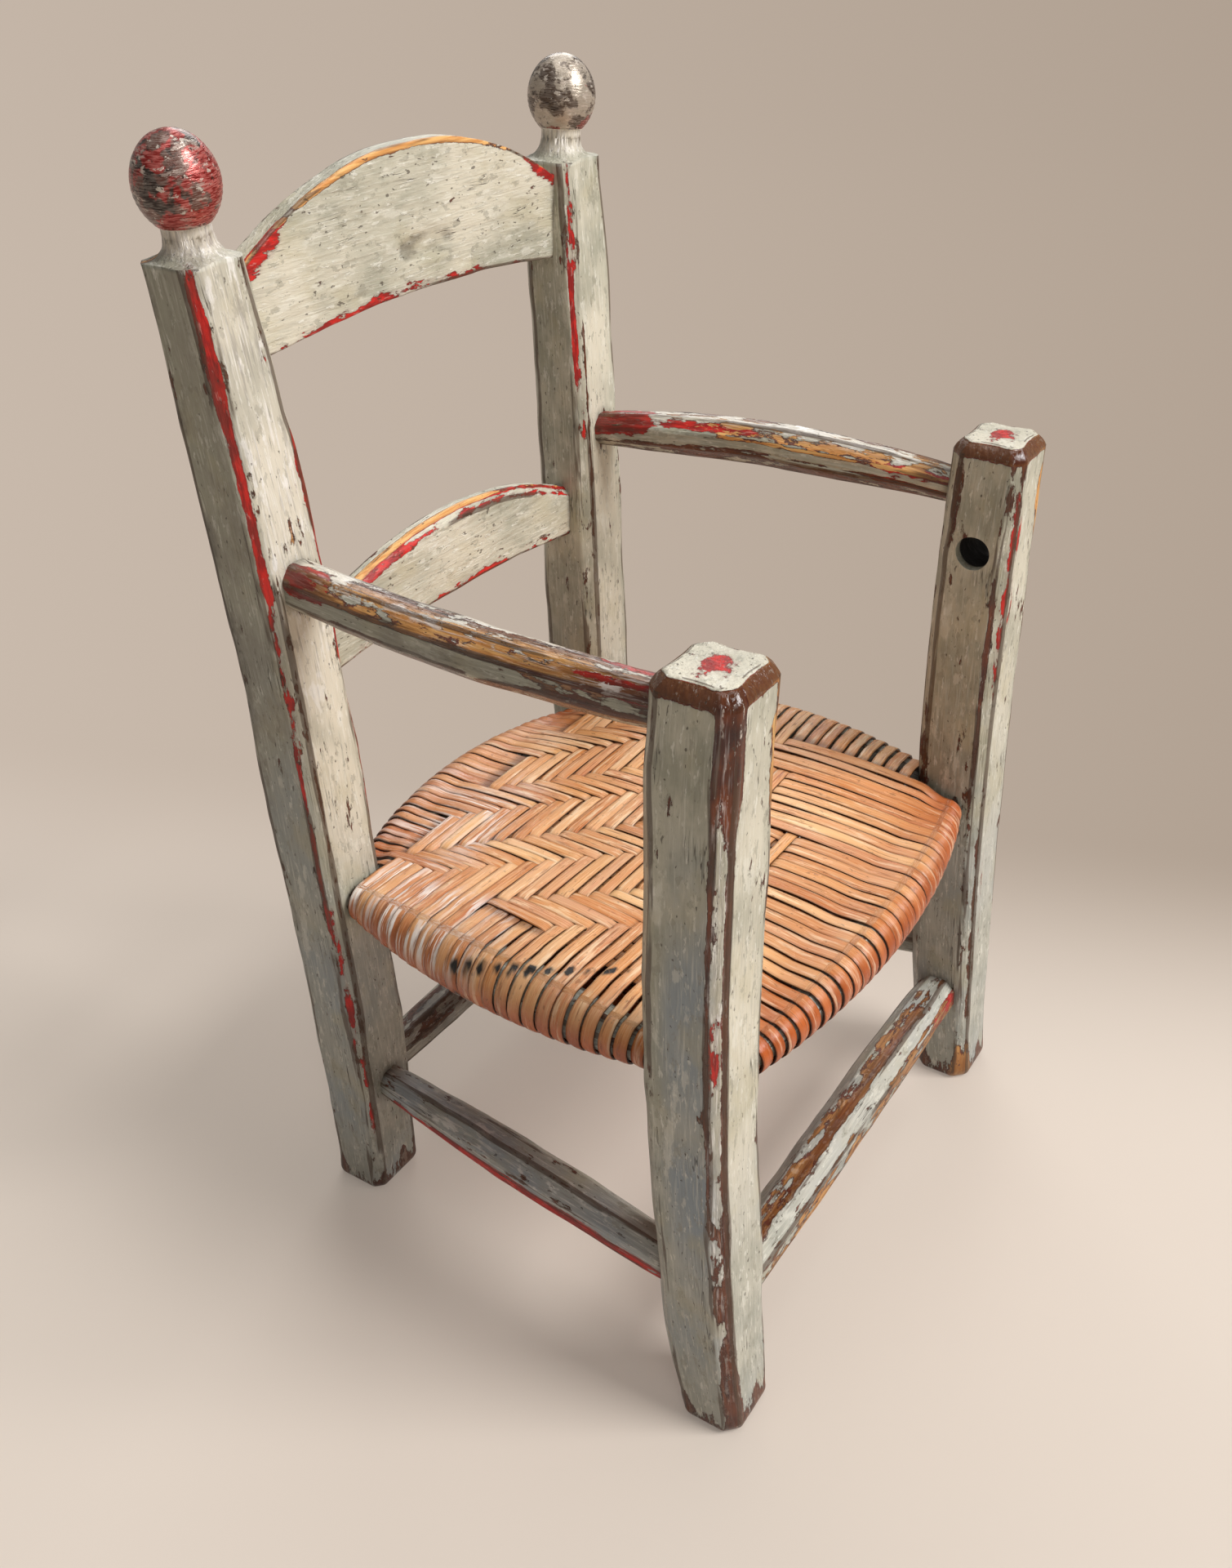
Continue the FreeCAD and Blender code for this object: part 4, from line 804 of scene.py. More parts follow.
def strand(kind, index, seed, seat):
    """Rings of one strand round its two rails, with its fibre coordinates and its looks.

    The strand's line runs over the top from the first rail to the second, round the second rail
    in a half turn, back underneath, and round the first. Along the top and the bottom it rises
    and dips by half its thickness as it passes over and under the strands that cross it.
    """
    rng = np.random.default_rng(seed * 1000 + index)
    place = np.linspace(-1, 1, WARPS)
    front_x, back_x = WARP_FRONT * place, WARP_BACK * place
    # The wefts lie a little closer together towards the back
    share = np.linspace(0, 1, WEFTS)
    weft_y = SEAT_FRONT + (SEAT_BACK - SEAT_FRONT) * (share + 0.1 * share * (1 - share))
    if kind == "warp":
        rails, axis, places = ("front", "back"), 0, (front_x[index], back_x[index])
        crossed, over = weft_y, ~weft_is_over(index, np.arange(WEFTS))
        widths = seat.warp_front / MM, seat.warp_back / MM
    else:
        rails, axis, places = ("left", "right"), 1, (weft_y[index],) * 2
        back_share = np.clip((weft_y[index] - NARROWING[0]) / NARROWING[1], 0, 1)
        crossed = front_x + (back_x - front_x) * back_share
        over = weft_is_over(np.arange(WARPS), index)
        widths = (seat.weft / MM + 0.3 * (1 - index / WEFTS),) * 2
    (a, half_a), (b, half_b) = (rail_where(f"{rail}_seat_rail", axis, place)
                                for rail, place in zip(rails, places))
    crossings = (crossed - a[1 - axis]) / (b[1 - axis] - a[1 - axis])
    states = np.where(over, 1.0, -1.0)
    run, thick = b - a, seat.thickness / MM
    length = math.hypot(run[0], run[1])
    flat = run * [1, 1, 0] / length
    side = np.cross(UP, flat)
    gap = RAIL_GAP + thick / 2
    # Where the strand lies over (1) and under (-1), with rests before and after its crossings
    known = np.concatenate([[0, crossings[0] * 0.35], crossings,
                            [1 - (1 - crossings[-1]) * 0.35, 1]])
    level = np.concatenate([[0, 0], states, [0, 0]])
    run_over = np.convolve(level, [0.2, 0.25, 0.3, 0.25, 0.2], "same")

    lines, shares = [], []
    for face, steps in ((1, np.linspace(0, 1, TOP_STEPS)), (-1, np.linspace(1, 0, UNDER_STEPS))):
        line = a + run * steps[:, None]
        y = line[:, 1] - (SEAT_FRONT + SEAT_BACK) / 2
        v = y / ((SEAT_BACK - SEAT_FRONT) / 2 + SHEET_PAST[1])
        back_share = np.clip((line[:, 1] - SHEET_NARROWING[0]) / SHEET_NARROWING[1], 0, 1)
        u = line[:, 0] / (WARP_FRONT + (WARP_BACK - WARP_FRONT) * back_share + SHEET_PAST[0])
        near_a = 1 - ramp(steps * length, 0, RAIL_REACH)
        near_b = 1 - ramp((1 - steps) * length, 0, RAIL_REACH)
        sheet = seat_surface(np.clip(u, -1, 1), np.clip(v, -1, 1), face)
        lift = (0.55 * thick * np.clip(np.interp(steps, known, level) * 1.7, -1, 1)
                + 0.35 * np.maximum(np.interp(steps, known, run_over), 0))
        line[:, 2] = (sheet * (1 - near_a - near_b) + (a[2] + face * (half_a + gap)) * near_a
                      + (b[2] + face * (half_b + gap)) * near_b
                      + face * lift * (1 - near_a) * (1 - near_b))
        angle = np.linspace(np.pi / 2, -np.pi / 2, TURN_STEPS + 2)[1:-1, None]
        bend = face * (np.cos(angle) * flat + np.sin(angle) * UP)
        rail, half = (b, half_b) if face > 0 else (a, half_a)
        lines += [line, rail + (half + gap) * bend]
        shares += [steps, np.full(TURN_STEPS, steps[-1])]
    line, shares = np.concatenate(lines), np.concatenate(shares)
    ahead = np.roll(line, -1, axis=0) - np.roll(line, 1, axis=0)
    ahead /= np.linalg.norm(ahead, axis=1, keepdims=True)
    out = np.cross(ahead, side)
    out *= np.sign((out * (line - line.mean(0))).sum())
    distance = np.concatenate([[0], np.cumsum(np.linalg.norm(np.diff(line, axis=0), axis=1))])
    wander = rng.uniform(0, 900)
    drift = 0.5 * rough_line(distance, wander, 38, seed, 1) + rng.uniform(-0.5, 0.5)
    tilt = 0.22 * rough_line(distance, wander, 24, seed + 3, 1) + rng.uniform(-0.12, 0.12)
    width = (widths[0] + (widths[1] - widths[0]) * shares) * (
        1 + 0.06 * rough_line(distance, wander, 30, seed + 6, 1) + rng.uniform(-0.15, 0.03))
    across = STRIP_ACROSS * width[:, None] / 2
    through_it = STRIP_THROUGH * thick / 2 + tilt[:, None] * STRIP_ACROSS
    points = (line[:, None] + side * (across + drift[:, None])[..., None]
              + out[:, None] * through_it[..., None])
    flow = np.stack([across + wander, through_it, across * 0 + distance[:, None] + wander], -1)
    # Its own tone, its edges darkened as painted shade for the gaps between strips, and painted
    # shade where it dips under the others on top
    under = -np.interp(shares[:TOP_STEPS], known, np.concatenate([[1, 1], states, [1, 1]]))
    dip_shade = np.zeros(len(line))
    dip_shade[:TOP_STEPS] = ramp(under, -0.25, 0.35)
    looks = np.stack(np.broadcast_arrays(rng.uniform(0, 1), np.abs(STRIP_ACROSS) ** 6,
                                         dip_shade[:, None]), -1)
    return points, flow, looks


def seat_marks(points):
    """Scorch spots along the front left of the seat, pale scuffs by its left edge, and wraps.

    The spots lie along a line across the strips, one or two to a strip. The third number grows
    where the strips turn down round the rails.
    """
    x, y, z = points.T
    # The scorched line bends from the middle of the left edge to the front
    off = x + 148 - 0.0065 * (13 - y) ** 2
    reach = ramp(y, -70, -56) * (1 - ramp(y, 14, 24))
    spot = 0.5 + 0.5 * np.cos((y + 1.5) * 2 * np.pi / 7.48)
    off = off + 1.6 * random_field(points, 12, 70)
    burn = np.exp(-(off / 2.6) ** 2) * spot ** 2 * (0.85 + 0.9 * random_field(points, 7, 71))
    burn = reach * (np.maximum(burn, 0) + 0.20 * np.exp(-((off + 1) / 7) ** 2))
    scuff = (1 - ramp(x, -128, -92)) * ramp(y, -10, 25)
    scuff = np.maximum(scuff, 0.7 * ramp(y, 50, 78) * (1 - ramp(x, -40, 20)))
    scuff = scuff * (0.65 + 0.7 * random_field(points, 16, 77))
    low = 1 - ramp(z, 200, 214)
    upper = ramp(z, 188, 200) * (1 - 0.8 * low)
    return np.stack([np.clip(burn, 0, 1), np.clip(scuff * upper, 0, 1), low], -1)


def woven(kind, seed, seat):
    """All the strands of one direction as one piece, each a closed loop of strip."""
    count = {"warp": WARPS, "weft": WEFTS}[kind]
    strands = [strand(kind, index, seed, seat) for index in range(count)]
    points, flow, looks = (np.stack(fields) for fields in zip(*strands))
    here = np.arange(points[..., 0].size).reshape(points.shape[:3])
    right, ahead = np.roll(here, -1, axis=2), np.roll(here, -1, axis=1)
    quads = np.stack([here, ahead, np.roll(ahead, -1, axis=2), right], -1).reshape(-1, 4)
    points = points.reshape(-1, 3)
    return skin(f"seat_{kind}", points, quads, np.zeros((0, 3), int),
                {"flow": flow.reshape(-1, 3) * MM, "strip": looks.reshape(-1, 3),
                 "wear": seat_marks(points)})


# Materials

def fill(tree, node, values):
    """Gives each of a node's named or numbered sockets a value, or a link to another output."""
    for key, value in values.items():
        if isinstance(value, bpy.types.NodeSocket):
            tree.links.new(value, node.inputs[key])
        else:
            node.inputs[key].default_value = value


def add(tree, kind, values=None, out=0, **settings):
    """Adds a node of the kind with its settings, and fills its sockets.

    It gives back the node's chosen output, or the node itself where out is None.
    """
    node = tree.nodes.new("ShaderNode" + kind)
    for key, value in settings.items():
        setattr(node, key, value)
    fill(tree, node, values or {})
    return node if out is None else node.outputs[out]


# A Map Range node with this setting is a smooth S from 0 at its first level to 1 at its second
SMOOTH = {"interpolation_type": "SMOOTHSTEP"}


def new_material(name):
    """A material with its own shader and output, and nothing else."""
    material = bpy.data.materials.new(name)
    material.use_nodes = True
    tree = material.node_tree
    tree.nodes.clear()
    shader = add(tree, "BsdfPrincipled", out=None)
    add(tree, "OutputMaterial", {"Surface": shader.outputs[0]}, out=None)
    return material, tree, shader


def surface_fields(tree, attributes, recipe):
    """Fields of numbers by name: the parts of a piece's own attributes, and random textures.

    A texture is stretched along the grain. Its line in the recipe is how long a mark is against
    its width, marks per metre, octaves, roughness and, except where the raw noise is wanted, its
    two levels that become 0 and 1.
    """
    fields = {}
    for name, parts in attributes.items():
        vector = add(tree, "Attribute", attribute_name=name, out="Vector")
        fields.update(zip(parts, add(tree, "SeparateXYZ", {0: vector}, out=None).outputs))
    flow = add(tree, "Attribute", attribute_name="flow", out="Vector")
    for name, (longer, scale, octaves, rough, *levels) in recipe.items():
        grain = add(tree, "VectorMath", {0: flow, 1: (1, 1, 1 / longer)}, operation="MULTIPLY")
        fields[name] = add(tree, "TexNoise", {"Vector": grain, "Scale": scale,
                                              "Detail": octaves, "Roughness": rough})
        if levels:
            fields[name] = add(tree, "MapRange", {0: fields[name], 1: levels[0], 2: levels[1]},
                               **SMOOTH)
    return fields


def weighed(tree, fields, start, **weights):
    """The start plus each named field times its weight."""
    for name, weight in weights.items():
        start = add(tree, "Math", {0: fields[name], 1: weight, 2: start},
                    operation="MULTIPLY_ADD")
    return start


def coats(tree, fields, colour, layers):
    """Colours laid over one another, each through its named masks times its strength."""
    for *masks, cover, over in layers:
        for mask in masks:
            cover = add(tree, "Math", {0: fields[mask], 1: cover}, operation="MULTIPLY",
                        use_clamp=True)
        over = linear_colour(over) if isinstance(over, str) else over
        colour = add(tree, "Mix", {0: cover, 6: colour, 7: over}, out=2, data_type="RGBA")
    return colour


def finish(tree, shader, colour, height, strength, distance, rough):
    """Gives a shader its colour, its roughness, a bump as tall as the distance, and paint's IOR."""
    bump = add(tree, "Bump", {"Height": height, "Strength": strength, "Distance": distance})
    fill(tree, shader, {"Base Color": colour, "Normal": bump, "Roughness": rough, "IOR": 1.5})


def flaking_paint(looks):
    """Chalky paint over a red coat over dark bare wood, brushed along the grain and chipped.

    The grey-green coat has a dull sheen and fine brush lines, and its pale streaks are partly
    painted glints. It has flaked off in sharp-edged chips that show red, and where that has gone
    too, brown wood with its grain. Old varnish has run down some arrises and dried dark and
    glossy.
    """
    material, tree, shader = new_material("milk_paint_over_wood")
    fields = surface_fields(tree, {
        "wear": ("wood_wear", "red_wear", "grime_and_shade"), "tint": ("warm", "varnish", "pale_and_lit"),
        "finish": ("arris", "cool_and_shade", "polish"),
    }, {
        "chips": (3, 165, 6, 0.66), "clusters": (1.6, 26, 2, 0.5), "deep": (4, 240, 5, 0.6),
        "split": (20, 420, 2, 0.5), "hewn": (5, 260, 3, 0.5),
        "split_area": (2, 70, 2, 0.5, 0.60, 0.66), "pits": (2, 470, 2, 0.5, 0.70, 0.72),
        "streaks": (16, 900, 3, 0.55, 0.50, 0.70), "dull_streaks": (14, 620, 3, 0.55, 0.53, 0.66),
        "mottle": (1.6, 60, 4, 0.6, 0.36, 0.64), "broad": (1, 14, 2, 0.5, 0.38, 0.60),
        "flecks": (3.5, 420, 4, 0.6, 0.60, 0.66), "rubbed": (2.5, 120, 5, 0.65, 0.57, 0.64),
        "red_tone": (3, 300, 3, 0.5, 0.42, 0.6), "grain": (25, 700, 4, 0.5, 0.4, 0.62),
        "bits": (2, 330, 5, 0.6, 0.56, 0.60), "outline": (9, 95, 3, 0.6, 0.47, 0.53),
        "scrapes": (2.2, 210, 5, 0.68, 0.585, 0.605), "stains": (1.4, 34, 4, 0.6, 0.52, 0.66),
    })
    # Paint is lost where the sum passes the chip level, and the red coat a little further on
    wood_loss = weighed(tree, fields, fields["chips"], clusters=0.24, arris=0.075, wood_wear=0.5,
                        varnish=0.35)
    red_loss = weighed(tree, fields, wood_loss, red_wear=0.42)
    deep_loss = weighed(tree, fields, wood_loss, deep=0.3)
    # Splits are lines about half a millimetre wide along the middle level of their noise
    off_split = add(tree, "Math", {0: fields["split"], 1: 0.5}, operation="SUBTRACT")
    off_split = add(tree, "Math", {0: off_split}, operation="ABSOLUTE")
    level = looks.chip_level
    for name, value, low, high in (
            ("bare_red", red_loss, level, level + 0.012),
            ("bare_wood", deep_loss, level + 0.20, level + 0.215),
            ("near_chip", red_loss, level - 0.03, level - 0.002),
            ("chip_rim", red_loss, level + 0.034, level + 0.014),
            ("thin", red_loss, level - 0.12, level - 0.02),
            ("unred", fields["red_wear"], 0.10, 0.03), ("deep_shade", fields["grime_and_shade"], 1.3, 2.0),
            ("split", off_split, 0.012, 0.002), ("rubbed_arris", fields["arris"], 0.72, 0.93)):
        fields[name] = add(tree, "MapRange", {0: value, 1: low, 2: high}, **SMOOTH)
    for name, area in (("split", "split_area"), ("rubbed_arris", "outline")):
        fields[name] = add(tree, "Math", {0: fields[name], 1: fields[area]}, operation="MULTIPLY")

    pale_and_lit = list(looks.paint_pale)
    # Pale paint is partly painted light on lit faces, the cool blue-grey is painted shade low down and
    # on left faces, the pale streaks are partly painted glints, and polish gives a painted sheen
    paint = coats(tree, fields, list(looks.paint_shade), [
        ("mottle", 1.0, list(looks.paint_body)), ("broad", "pale_and_lit", 0.9, pale_and_lit),
        ("pale_and_lit", 0.12, pale_and_lit), ("cool_and_shade", 0.30, "#9BA0A3"), ("broad", "cool_and_shade", 0.5, "#8D979E"),
        ("streaks", 0.35, "#E6E2D4"), ("dull_streaks", 0.20, "#7E7C70"),
        ("rubbed", 0.40, "#E4E0D2"), ("flecks", 0.45, "#EFECE0"), ("stains", 0.30, "#B3A781"),
        ("scrapes", 0.45, "#8A8574"), ("polish", "rubbed", 0.8, "#F1EEEA"),
        ("polish", "dull_streaks", 0.5, "#77706A"), ("polish", "streaks", 0.6, "#F6F2EE"),
        ("polish", 0.22, "#EADDD2"),
    ])
    # Stray chips go straight through to the dark ground, and the red only shows in its patches
    red = coats(tree, fields, list(looks.red_deep), [
        ("red_tone", 1.0, list(looks.red_bright)), ("flecks", 0.3, "#D9A79A"),
        ("unred", 0.85, "#54402F"), ("varnish", 1.6, "#4A1C0D"),
    ])
    wood = coats(tree, fields, linear_colour("#2E1A10"), [
        ("grain", 1.0, "#74401F"), ("bits", 0.5, "#B8AC9C"), ("warm", 0.95, list(looks.new_wood)),
        ("warm", "grain", 0.6, "#EDBE78"), ("varnish", 1.1, "#451608"),
        ("varnish", "mottle", 0.7, "#8F4213"), ("varnish", "stains", 0.3, "#7A4A3C"),
        ("varnish", "clusters", 0.5, "#1C0C06"), ("varnish", "flecks", 0.45, "#C9BDB0"),
        ("polish", "rubbed", 0.7, "#DCD2CA"), ("polish", "streaks", 0.5, "#E8E0DA"),
    ])
    # Grime is partly painted shade, and the deepest of it turns near black as painted shade inside the
    # holes and at the deepest joints
    colour = coats(tree, fields, paint, [
        ("thin", "red_wear", 0.9, "#AE8D86"), ("near_chip", 0.5, "#5A5042"),
        ("bare_red", 1.0, red), ("bare_wood", 1.0, wood), ("bare_red", "chip_rim", 0.5, "#2B170E"),
        ("rubbed_arris", 0.75, "#4A3322"), ("split", 0.9, "#3A2C20"), ("pits", 0.7, "#41352A"),
        ("grime_and_shade", "mottle", 0.6, "#3D3529"), ("deep_shade", 1.0, "#120D0A"),
    ])

    # Paint is about a quarter of a millimetre thick, so its chips have an edge that shows, and
    # where varnish has run the surface is smoother and shinier
    height = weighed(tree, fields, 1.0, bare_red=-0.45, bare_wood=-0.5, split=-0.8, pits=-0.7,
                     streaks=0.25, hewn=2.4, chips=1.2, flecks=0.3)
    smoother = add(tree, "MapRange", {0: fields["varnish"], 3: 1.0, 4: 0.4})
    height = add(tree, "Math", {0: height, 1: smoother}, operation="MULTIPLY")
    rough = weighed(tree, fields, 0.30, chips=0.36, varnish=-0.36, polish=-0.16)
    finish(tree, shader, colour, height, 0.8, 0.0005, rough)
    return material


def painted(looks):
    """The one paint material, made the first time that it is asked for."""
    return bpy.data.materials.get("milk_paint_over_wood") or flaking_paint(looks)


def finial_paint(name, dull, middle, red, bright, show_red):
    """Gloss paint on a turned ball, rubbed through in patches by hands, over a dark ground.

    The ball was turned, so its marks run round it, and it is the one glossy thing on the chair.
    The red shows from the given level of its noise.
    """
    material, tree, shader = new_material(name)
    fields = surface_fields(tree, {}, {
        "patches": (0.9, 70, 4, 0.6, 0.46, 0.52), "dark": (0.6, 60, 5, 0.65, 0.57, 0.62),
        "red": (0.8, 48, 4, 0.62, show_red, show_red + 0.04), "fine": (0.3, 420, 3, 0.5),
        "turned": (0.12, 260, 3, 0.5, 0.4, 0.62), "flecks": (0.7, 170, 5, 0.65, 0.61, 0.63),
        "pits": (1, 480, 2, 0.5, 0.67, 0.70), "rubbed": (0.3, 120, 5, 0.7, 0.56, 0.62),
    })
    colour = coats(tree, fields, linear_colour(dull), [
        ("patches", 0.9, middle), ("red", 0.95, red), ("red", "turned", 0.8, bright),
        ("dark", 0.8, "#2A1C15"), ("flecks", 0.75, "#D8CDBF"), ("turned", 0.16, "#EADFD4"),
        ("rubbed", 0.45, "#D9C9BC"), ("pits", 0.8, "#241A14"),
    ])
    height = weighed(tree, fields, 0.0, patches=0.4, flecks=0.6, turned=0.25, fine=0.9, pits=-0.8)
    finish(tree, shader, colour, height, 0.5, 0.0003, 0.27)
    shader.inputs["Metallic"].default_value = 0.4
    return material


def splint(looks):
    """Split ash strips under old shellac: orange-tan, with fibres along them and a soft gloss."""
    material, tree, shader = new_material("shellacked_splint")
    fields = surface_fields(tree, {"strip": ("tone", "edge", "dip_shade"),
                                   "wear": ("burn", "scuff", "wrap")}, {
        "fibres": (50, 1500, 3, 0.6, 0.35, 0.65), "patches": (3, 45, 3, 0.6, 0.40, 0.62),
        "dark": (12, 520, 4, 0.6, 0.57, 0.70), "fine_pale": (10, 300, 4, 0.6, 0.54, 0.66),
        "scuffs": (18, 420, 4, 0.65, 0.48, 0.56), "spots": (2, 420, 3, 0.6, 0.64, 0.70),
        "ripple": (2, 160, 2, 0.5), "rosy": (9, 13, 1, 0.5, 0.44, 0.58),
        "amber": (8, 11, 1, 0.5, 0.46, 0.60),
    })
    for name, low, high in (("edge", 0.50, 0.90), ("burn", 0.16, 0.5)):
        fields["strong_" + name] = add(tree, "MapRange", {0: fields[name], 1: low, 2: high},
                                       **SMOOTH)
    # The dip and the strong edges darken as painted shade where a strip passes under another and in
    # the gaps between strips
    colour = coats(tree, fields, list(looks.splint_dark), [
        ("tone", 1.0, list(looks.splint_light)), ("rosy", 0.45, "#E2A888"),
        ("amber", 0.45, "#D98235"), ("patches", 0.3, "#DF8C48"), ("fine_pale", 0.6, "#FFE2BC"),
        ("fibres", 0.35, "#FBD6A2"), ("wrap", 0.88, "#B8541A"), ("wrap", "patches", 0.6, "#8A3812"),
        ("wrap", "fine_pale", 0.45, "#FBD9B4"), ("dip_shade", 0.65, "#3A1A0B"), ("dark", 0.6, "#8A4520"),
        ("edge", 0.4, "#7E3B1A"), ("strong_edge", 0.9, "#1F0D06"), ("spots", 0.4, "#5A3018"),
        ("scuff", 0.45, "#A8501F"), ("scuff", "scuffs", 1.0, "#FFF6EE"),
        ("strong_burn", 1.0, "#15100D"),
    ])
    height = weighed(tree, fields, 0.0, fibres=0.7, ripple=2.0, dark=-0.5)
    rough = weighed(tree, fields, 0.16, ripple=0.18, scuff=0.15)
    finish(tree, shader, colour, height, 0.6, 0.0003, rough)
    return material


# Stage

def backdrop(tree, stage, direction):
    """The backdrop's colour in a direction from the camera's place: duller towards its right."""
    level = add(tree, "VectorMath", {0: direction, 1: (1, 1, 0)}, operation="MULTIPLY")
    level = add(tree, "VectorMath", {0: level}, operation="NORMALIZE")
    right = (math.cos(stage.azimuth), math.sin(stage.azimuth), 0)
    right = add(tree, "VectorMath", {0: level, 1: right}, out="Value", operation="DOT_PRODUCT")
    share = add(tree, "MapRange", {0: right, 1: -0.45, 2: 0.45})
    return add(tree, "Mix", {0: share, 6: linear_colour("#C9BAAC"), 7: linear_colour("#AF9F90")},
               out=2, data_type="RGBA")


def lay_floor(stage):
    """A wide floor that keeps the chair's shadow and fades into the backdrop's colour far off.

    It has faded 0.36 m ahead of the chair as the camera looks, and 1.4 m away all round.
    """
    material, tree, shader = new_material("backdrop_paper")
    fill(tree, shader, {"Base Color": linear_colour("#DCCFC2"), "Roughness": 0.95,
                        "Specular IOR Level": 0.1})
    place = add(tree, "TexCoord", out="Object")
    away = add(tree, "VectorMath", {0: place}, out="Value", operation="LENGTH")
    heading = stage.azimuth - 0.2
    heading = (-math.sin(heading), math.cos(heading), 0)
    ahead = add(tree, "VectorMath", {0: place, 1: heading}, out="Value", operation="DOT_PRODUCT")
    ahead = add(tree, "MapRange", {0: ahead, 1: 0.0, 2: 0.36}, **SMOOTH)
    away = add(tree, "MapRange", {0: away, 1: 0.7, 2: 1.4}, **SMOOTH)
    far = add(tree, "Math", {0: ahead, 1: away}, operation="MAXIMUM")
    across = add(tree, "VectorMath", {0: place, 1: tuple(stage.place)}, operation="SUBTRACT")
    glow = add(tree, "Mix", {0: far, 6: linear_colour("#DDCFC2"), 7: backdrop(tree, stage, across)},
               out=2, data_type="RGBA")
    glow = add(tree, "Emission", {"Color": glow, "Strength": 1.0})
    rays = add(tree, "LightPath", out=None).outputs
    seen = add(tree, "Math", {0: rays["Is Camera Ray"], 1: rays["Is Glossy Ray"]},
               operation="MAXIMUM")
    cover = add(tree, "MapRange", {0: far, 3: 0.25, 4: 0.97})
    cover = add(tree, "Math", {0: cover, 1: seen}, operation="MULTIPLY")
    surface = add(tree, "MixShader", {0: cover, 1: shader.outputs[0], 2: glow})
    fill(tree, tree.nodes["Material Output"], {"Surface": surface})
    bpy.ops.mesh.primitive_circle_add(vertices=96, radius=14, fill_type="NGON")
    floor = bpy.context.active_object
    floor.name = "floor"
    floor.data.materials.append(material)


def light_world(stage):
    """Even light from all round, with the backdrop's colour where it is seen or mirrored."""
    world = bpy.data.worlds.new("soft_studio")
    world.use_nodes = True
    tree = world.node_tree
    rays = add(tree, "LightPath", out=None).outputs
    glossy = add(tree, "Math", {0: rays["Is Glossy Ray"], 1: 0.4}, operation="MULTIPLY")
    seen = add(tree, "Math", {0: rays["Is Camera Ray"], 1: glossy}, operation="MAXIMUM")
    seen = add(tree, "Math", {0: seen, 1: rays["Is Transmission Ray"]}, operation="MAXIMUM")
    direction = add(tree, "TexCoord", out="Generated")
    colour = add(tree, "Mix", {0: seen, 6: linear_colour("#D6D2CC"),
                               7: backdrop(tree, stage, direction)}, out=2, data_type="RGBA")
    strength = add(tree, "MapRange", {0: seen, 3: stage.ambient, 4: 1.0})
    fill(tree, tree.nodes["Background"], {"Color": colour, "Strength": strength})
    return world


# Add-on

def colour(label, code, description):
    """A colour to change in the sidebar."""
    return FloatVectorProperty(name=label, description=description, subtype="COLOR", size=4,
                               min=0, max=1, default=linear_colour(code))


def length(label, millimetres, description):
    """A length to change in the sidebar."""
    return FloatProperty(name=label, description=description, unit="LENGTH", min=0.0001,
                         default=millimetres * MM)


def angle(label, degrees, description):
    """An angle to change in the sidebar."""
    return FloatProperty(name=label, description=description, subtype="ANGLE",
                         default=math.radians(degrees))


class WoodLooks(bpy.types.PropertyGroup):
    """How the posts are hewn, the colours of the coats, and how much of them has flaked off"""
    arris: length("Arris", 1.5, "How far a post's arrises are rounded over")
    dents: length("Dents", 0.9, "Depth of the dents that the tool left in the posts")
    foot_round: length("Foot", 7, "Height of the rounding at the bottom of a post")
    paint_body: colour("Paint", "#BDB8A5", "Body colour of the grey-green coat")
    paint_shade: colour("Dull paint", "#9C9A88", "Duller patches of the coat")
    paint_pale: colour("Pale paint", "#D6CEBA", "Paler, creamier patches")
    red_bright: colour("Red coat", "#CB1C12", "The coat under the grey one")
    red_deep: colour("Deep red", "#94130E", "Darker patches of the red coat")
    new_wood: colour("New wood", "#D08C48", "Wood that was rubbed bare not long ago")
    chip_level: FloatProperty(name="Chip level", default=0.80, min=0.4, max=1.2,
                              description="Paint is lost above this level, so lower is more worn")


class SeatLooks(bpy.types.PropertyGroup):
    """Sizes and colours of the splint strips"""
    thickness: length("Thickness", 1.2, "Thickness of a strip")
    warp_front: length("Warp at the front", 8.15, "Mean width of a warp strip at the front rail")
    warp_back: length("Warp at the back", 6.5, "Mean width of a warp strip at the back rail")
    weft: length("Weft", 7.3, "Mean width of the last weft strip")
    splint_dark: colour("Dark splint", "#BC642F", "The darkest strips' colour")
    splint_light: colour("Light splint", "#FBC68A", "The lightest strips' colour")


class StageSizes(bpy.types.PropertyGroup):
    """Where the camera stands, what it sees, and how strong the even light is"""
    place: FloatVectorProperty(name="Place", description="Where the camera stands",
                               subtype="TRANSLATION", unit="LENGTH",
                               default=(-0.57085, -0.35281, 0.65809))
    azimuth: angle("Azimuth", -56.92, "Turn of the camera about the chair")
    elevation: angle("Elevation", 32.05, "How far down the camera looks")
    roll: angle("Roll", -0.75, "Tilt of the picture")
    focal: FloatProperty(name="Focal length", description="On a 36 mm sensor, in millimetres",
                         unit="CAMERA", default=36 * 1846 / 1920)
    ambient: FloatProperty(name="Ambient light", default=0.16, min=0,
                           description="Strength of the even light from all round")


class ARMCHAIR_OT_posts(bpy.types.Operator):
    """Builds the four posts with their finials and the guard bar's holes"""
    bl_idname = "armchair.posts"
    bl_label = "Posts"

    def execute(self, context):
        looks = context.scene.armchair_wood
        paint = painted(looks)
        balls = {
            "left": finial_paint("rubbed_red_gloss", "#2A1A14", "#6A443A", "#86130F", "#C02A22",
                                 0.40),
            "right": finial_paint("rubbed_grey_gloss", "#544438", "#B5A897", "#7E2A24",
                                  "#A04036", 0.535),
        }
        for side in SIDES:
            front = post(side, "front", looks)
            guard_hole(front, side)
            settle(front, [paint], "painted_wood", f"front_post_{side}")
            back = post(side, "back", looks)
            settle(back, [paint, balls[side]], "painted_wood", f"back_post_{side}")
        return {"FINISHED"}


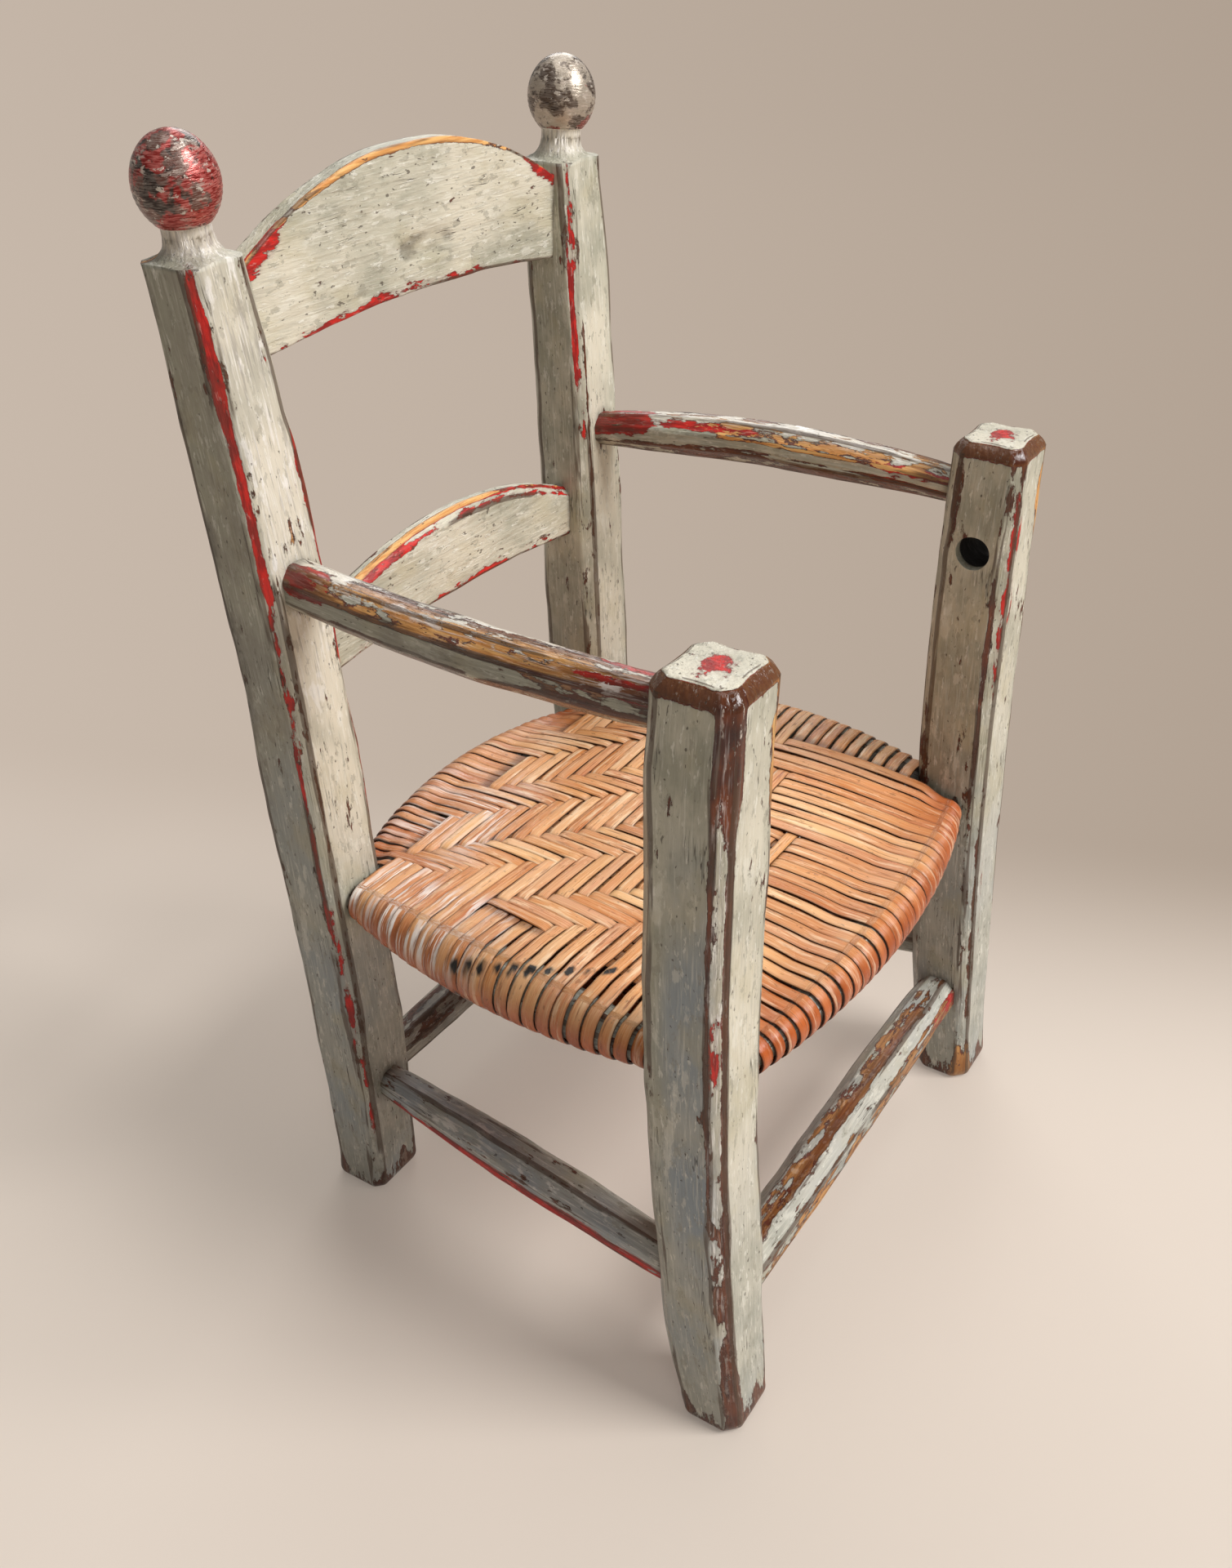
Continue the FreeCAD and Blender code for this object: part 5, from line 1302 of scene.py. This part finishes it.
class ARMCHAIR_OT_spindles(bpy.types.Operator):
    """Builds the arms, the rungs and the seat rails"""
    bl_idname = "armchair.spindles"
    bl_label = "Arms, rungs and rails"

    def execute(self, context):
        paint = painted(context.scene.armchair_wood)
        for order, name in enumerate(SPINDLES):
            slot = "bare_wood" if name.endswith("rail") else "painted_wood"
            settle(spindle(name, 60 + 3 * order), [paint], slot, name)
        return {"FINISHED"}


class ARMCHAIR_OT_slats(bpy.types.Operator):
    """Builds the arched crest slat and the lower slat"""
    bl_idname = "armchair.slats"
    bl_label = "Slats"

    def execute(self, context):
        for name in SLATS:
            settle(slat(name), [painted(context.scene.armchair_wood)], "painted_wood", name)
        return {"FINISHED"}


class ARMCHAIR_OT_seat(bpy.types.Operator):
    """Weaves the splint seat, strand by strand"""
    bl_idname = "armchair.seat"
    bl_label = "Woven seat"

    def execute(self, context):
        seat = context.scene.armchair_seat
        material = splint(seat)
        for kind, seed in (("warp", 31), ("weft", 47)):
            settle(woven(kind, seed, seat), [material], "splint", f"seat_{kind}")
        return {"FINISHED"}


class ARMCHAIR_OT_stage(bpy.types.Operator):
    """Sets the pale floor, the soft lamps and the camera"""
    bl_idname = "armchair.stage"
    bl_label = "Stage"

    def execute(self, context):
        scene, stage = context.scene, context.scene.armchair_stage
        scene.view_settings.view_transform = "Standard"
        lay_floor(stage)
        scene.world = light_world(stage)
        # Each lamp's place and side in metres, and its power in watts
        for name, place, side, power in (
                ("key", (0.9, -3.7, 3.8), 2.4, 280), ("top", (0.3, 0.2, 3.4), 2.0, 30),
                ("fill", (-1.5, -1.4, 1.9), 0.4, 4), ("sheen", (2.2, 1.5, 2.0), 1.6, 24)):
            lamp = bpy.data.lights.new(name, "AREA")
            lamp.size = side
            lamp.energy = power
            holder = bpy.data.objects.new(name, lamp)
            holder.location = place
            aim = Vector((0, 0, 0.25)) - Vector(place)
            holder.rotation_euler = aim.to_track_quat("-Z", "Y").to_euler()
            scene.collection.objects.link(holder)
        camera = bpy.data.cameras.new("camera")
        camera.lens = stage.focal
        camera.clip_end = 60
        holder = bpy.data.objects.new("camera", camera)
        holder.matrix_world = (Matrix.Translation(stage.place)
                               @ Matrix.Rotation(stage.azimuth, 4, "Z")
                               @ Matrix.Rotation(math.pi / 2 - stage.elevation, 4, "X")
                               @ Matrix.Rotation(stage.roll, 4, "Z"))
        scene.collection.objects.link(holder)
        scene.camera = holder
        return {"FINISHED"}


class ARMCHAIR_PT_panel(bpy.types.Panel):
    """Sidebar panel with the chair's steps, its sizes and its colours"""
    bl_label = "Armchair"
    bl_idname = "ARMCHAIR_PT_panel"
    bl_space_type = "VIEW_3D"
    bl_region_type = "UI"
    bl_category = "Armchair"

    def draw(self, context):
        for operator in OPERATORS:
            self.layout.operator(operator.bl_idname)
        for name in GROUPS:
            group = getattr(context.scene, name)
            for key in group.__annotations__:
                self.layout.prop(group, key)


GROUPS = {"armchair_wood": WoodLooks, "armchair_seat": SeatLooks, "armchair_stage": StageSizes}
OPERATORS = (ARMCHAIR_OT_posts, ARMCHAIR_OT_spindles, ARMCHAIR_OT_slats, ARMCHAIR_OT_seat,
             ARMCHAIR_OT_stage)
CLASSES = (*GROUPS.values(), *OPERATORS, ARMCHAIR_PT_panel)


def register():
    for item in CLASSES:
        bpy.utils.register_class(item)
    for name, group in GROUPS.items():
        setattr(bpy.types.Scene, name, PointerProperty(type=group))


def unregister():
    for name in GROUPS:
        delattr(bpy.types.Scene, name)
    for item in reversed(CLASSES):
        bpy.utils.unregister_class(item)


def main():
    """Build every piece in order."""
    register()
    for step in (bpy.ops.armchair.posts, bpy.ops.armchair.spindles, bpy.ops.armchair.slats,
                 bpy.ops.armchair.seat, bpy.ops.armchair.stage):
        step()


if __name__ == "__main__":
    main()
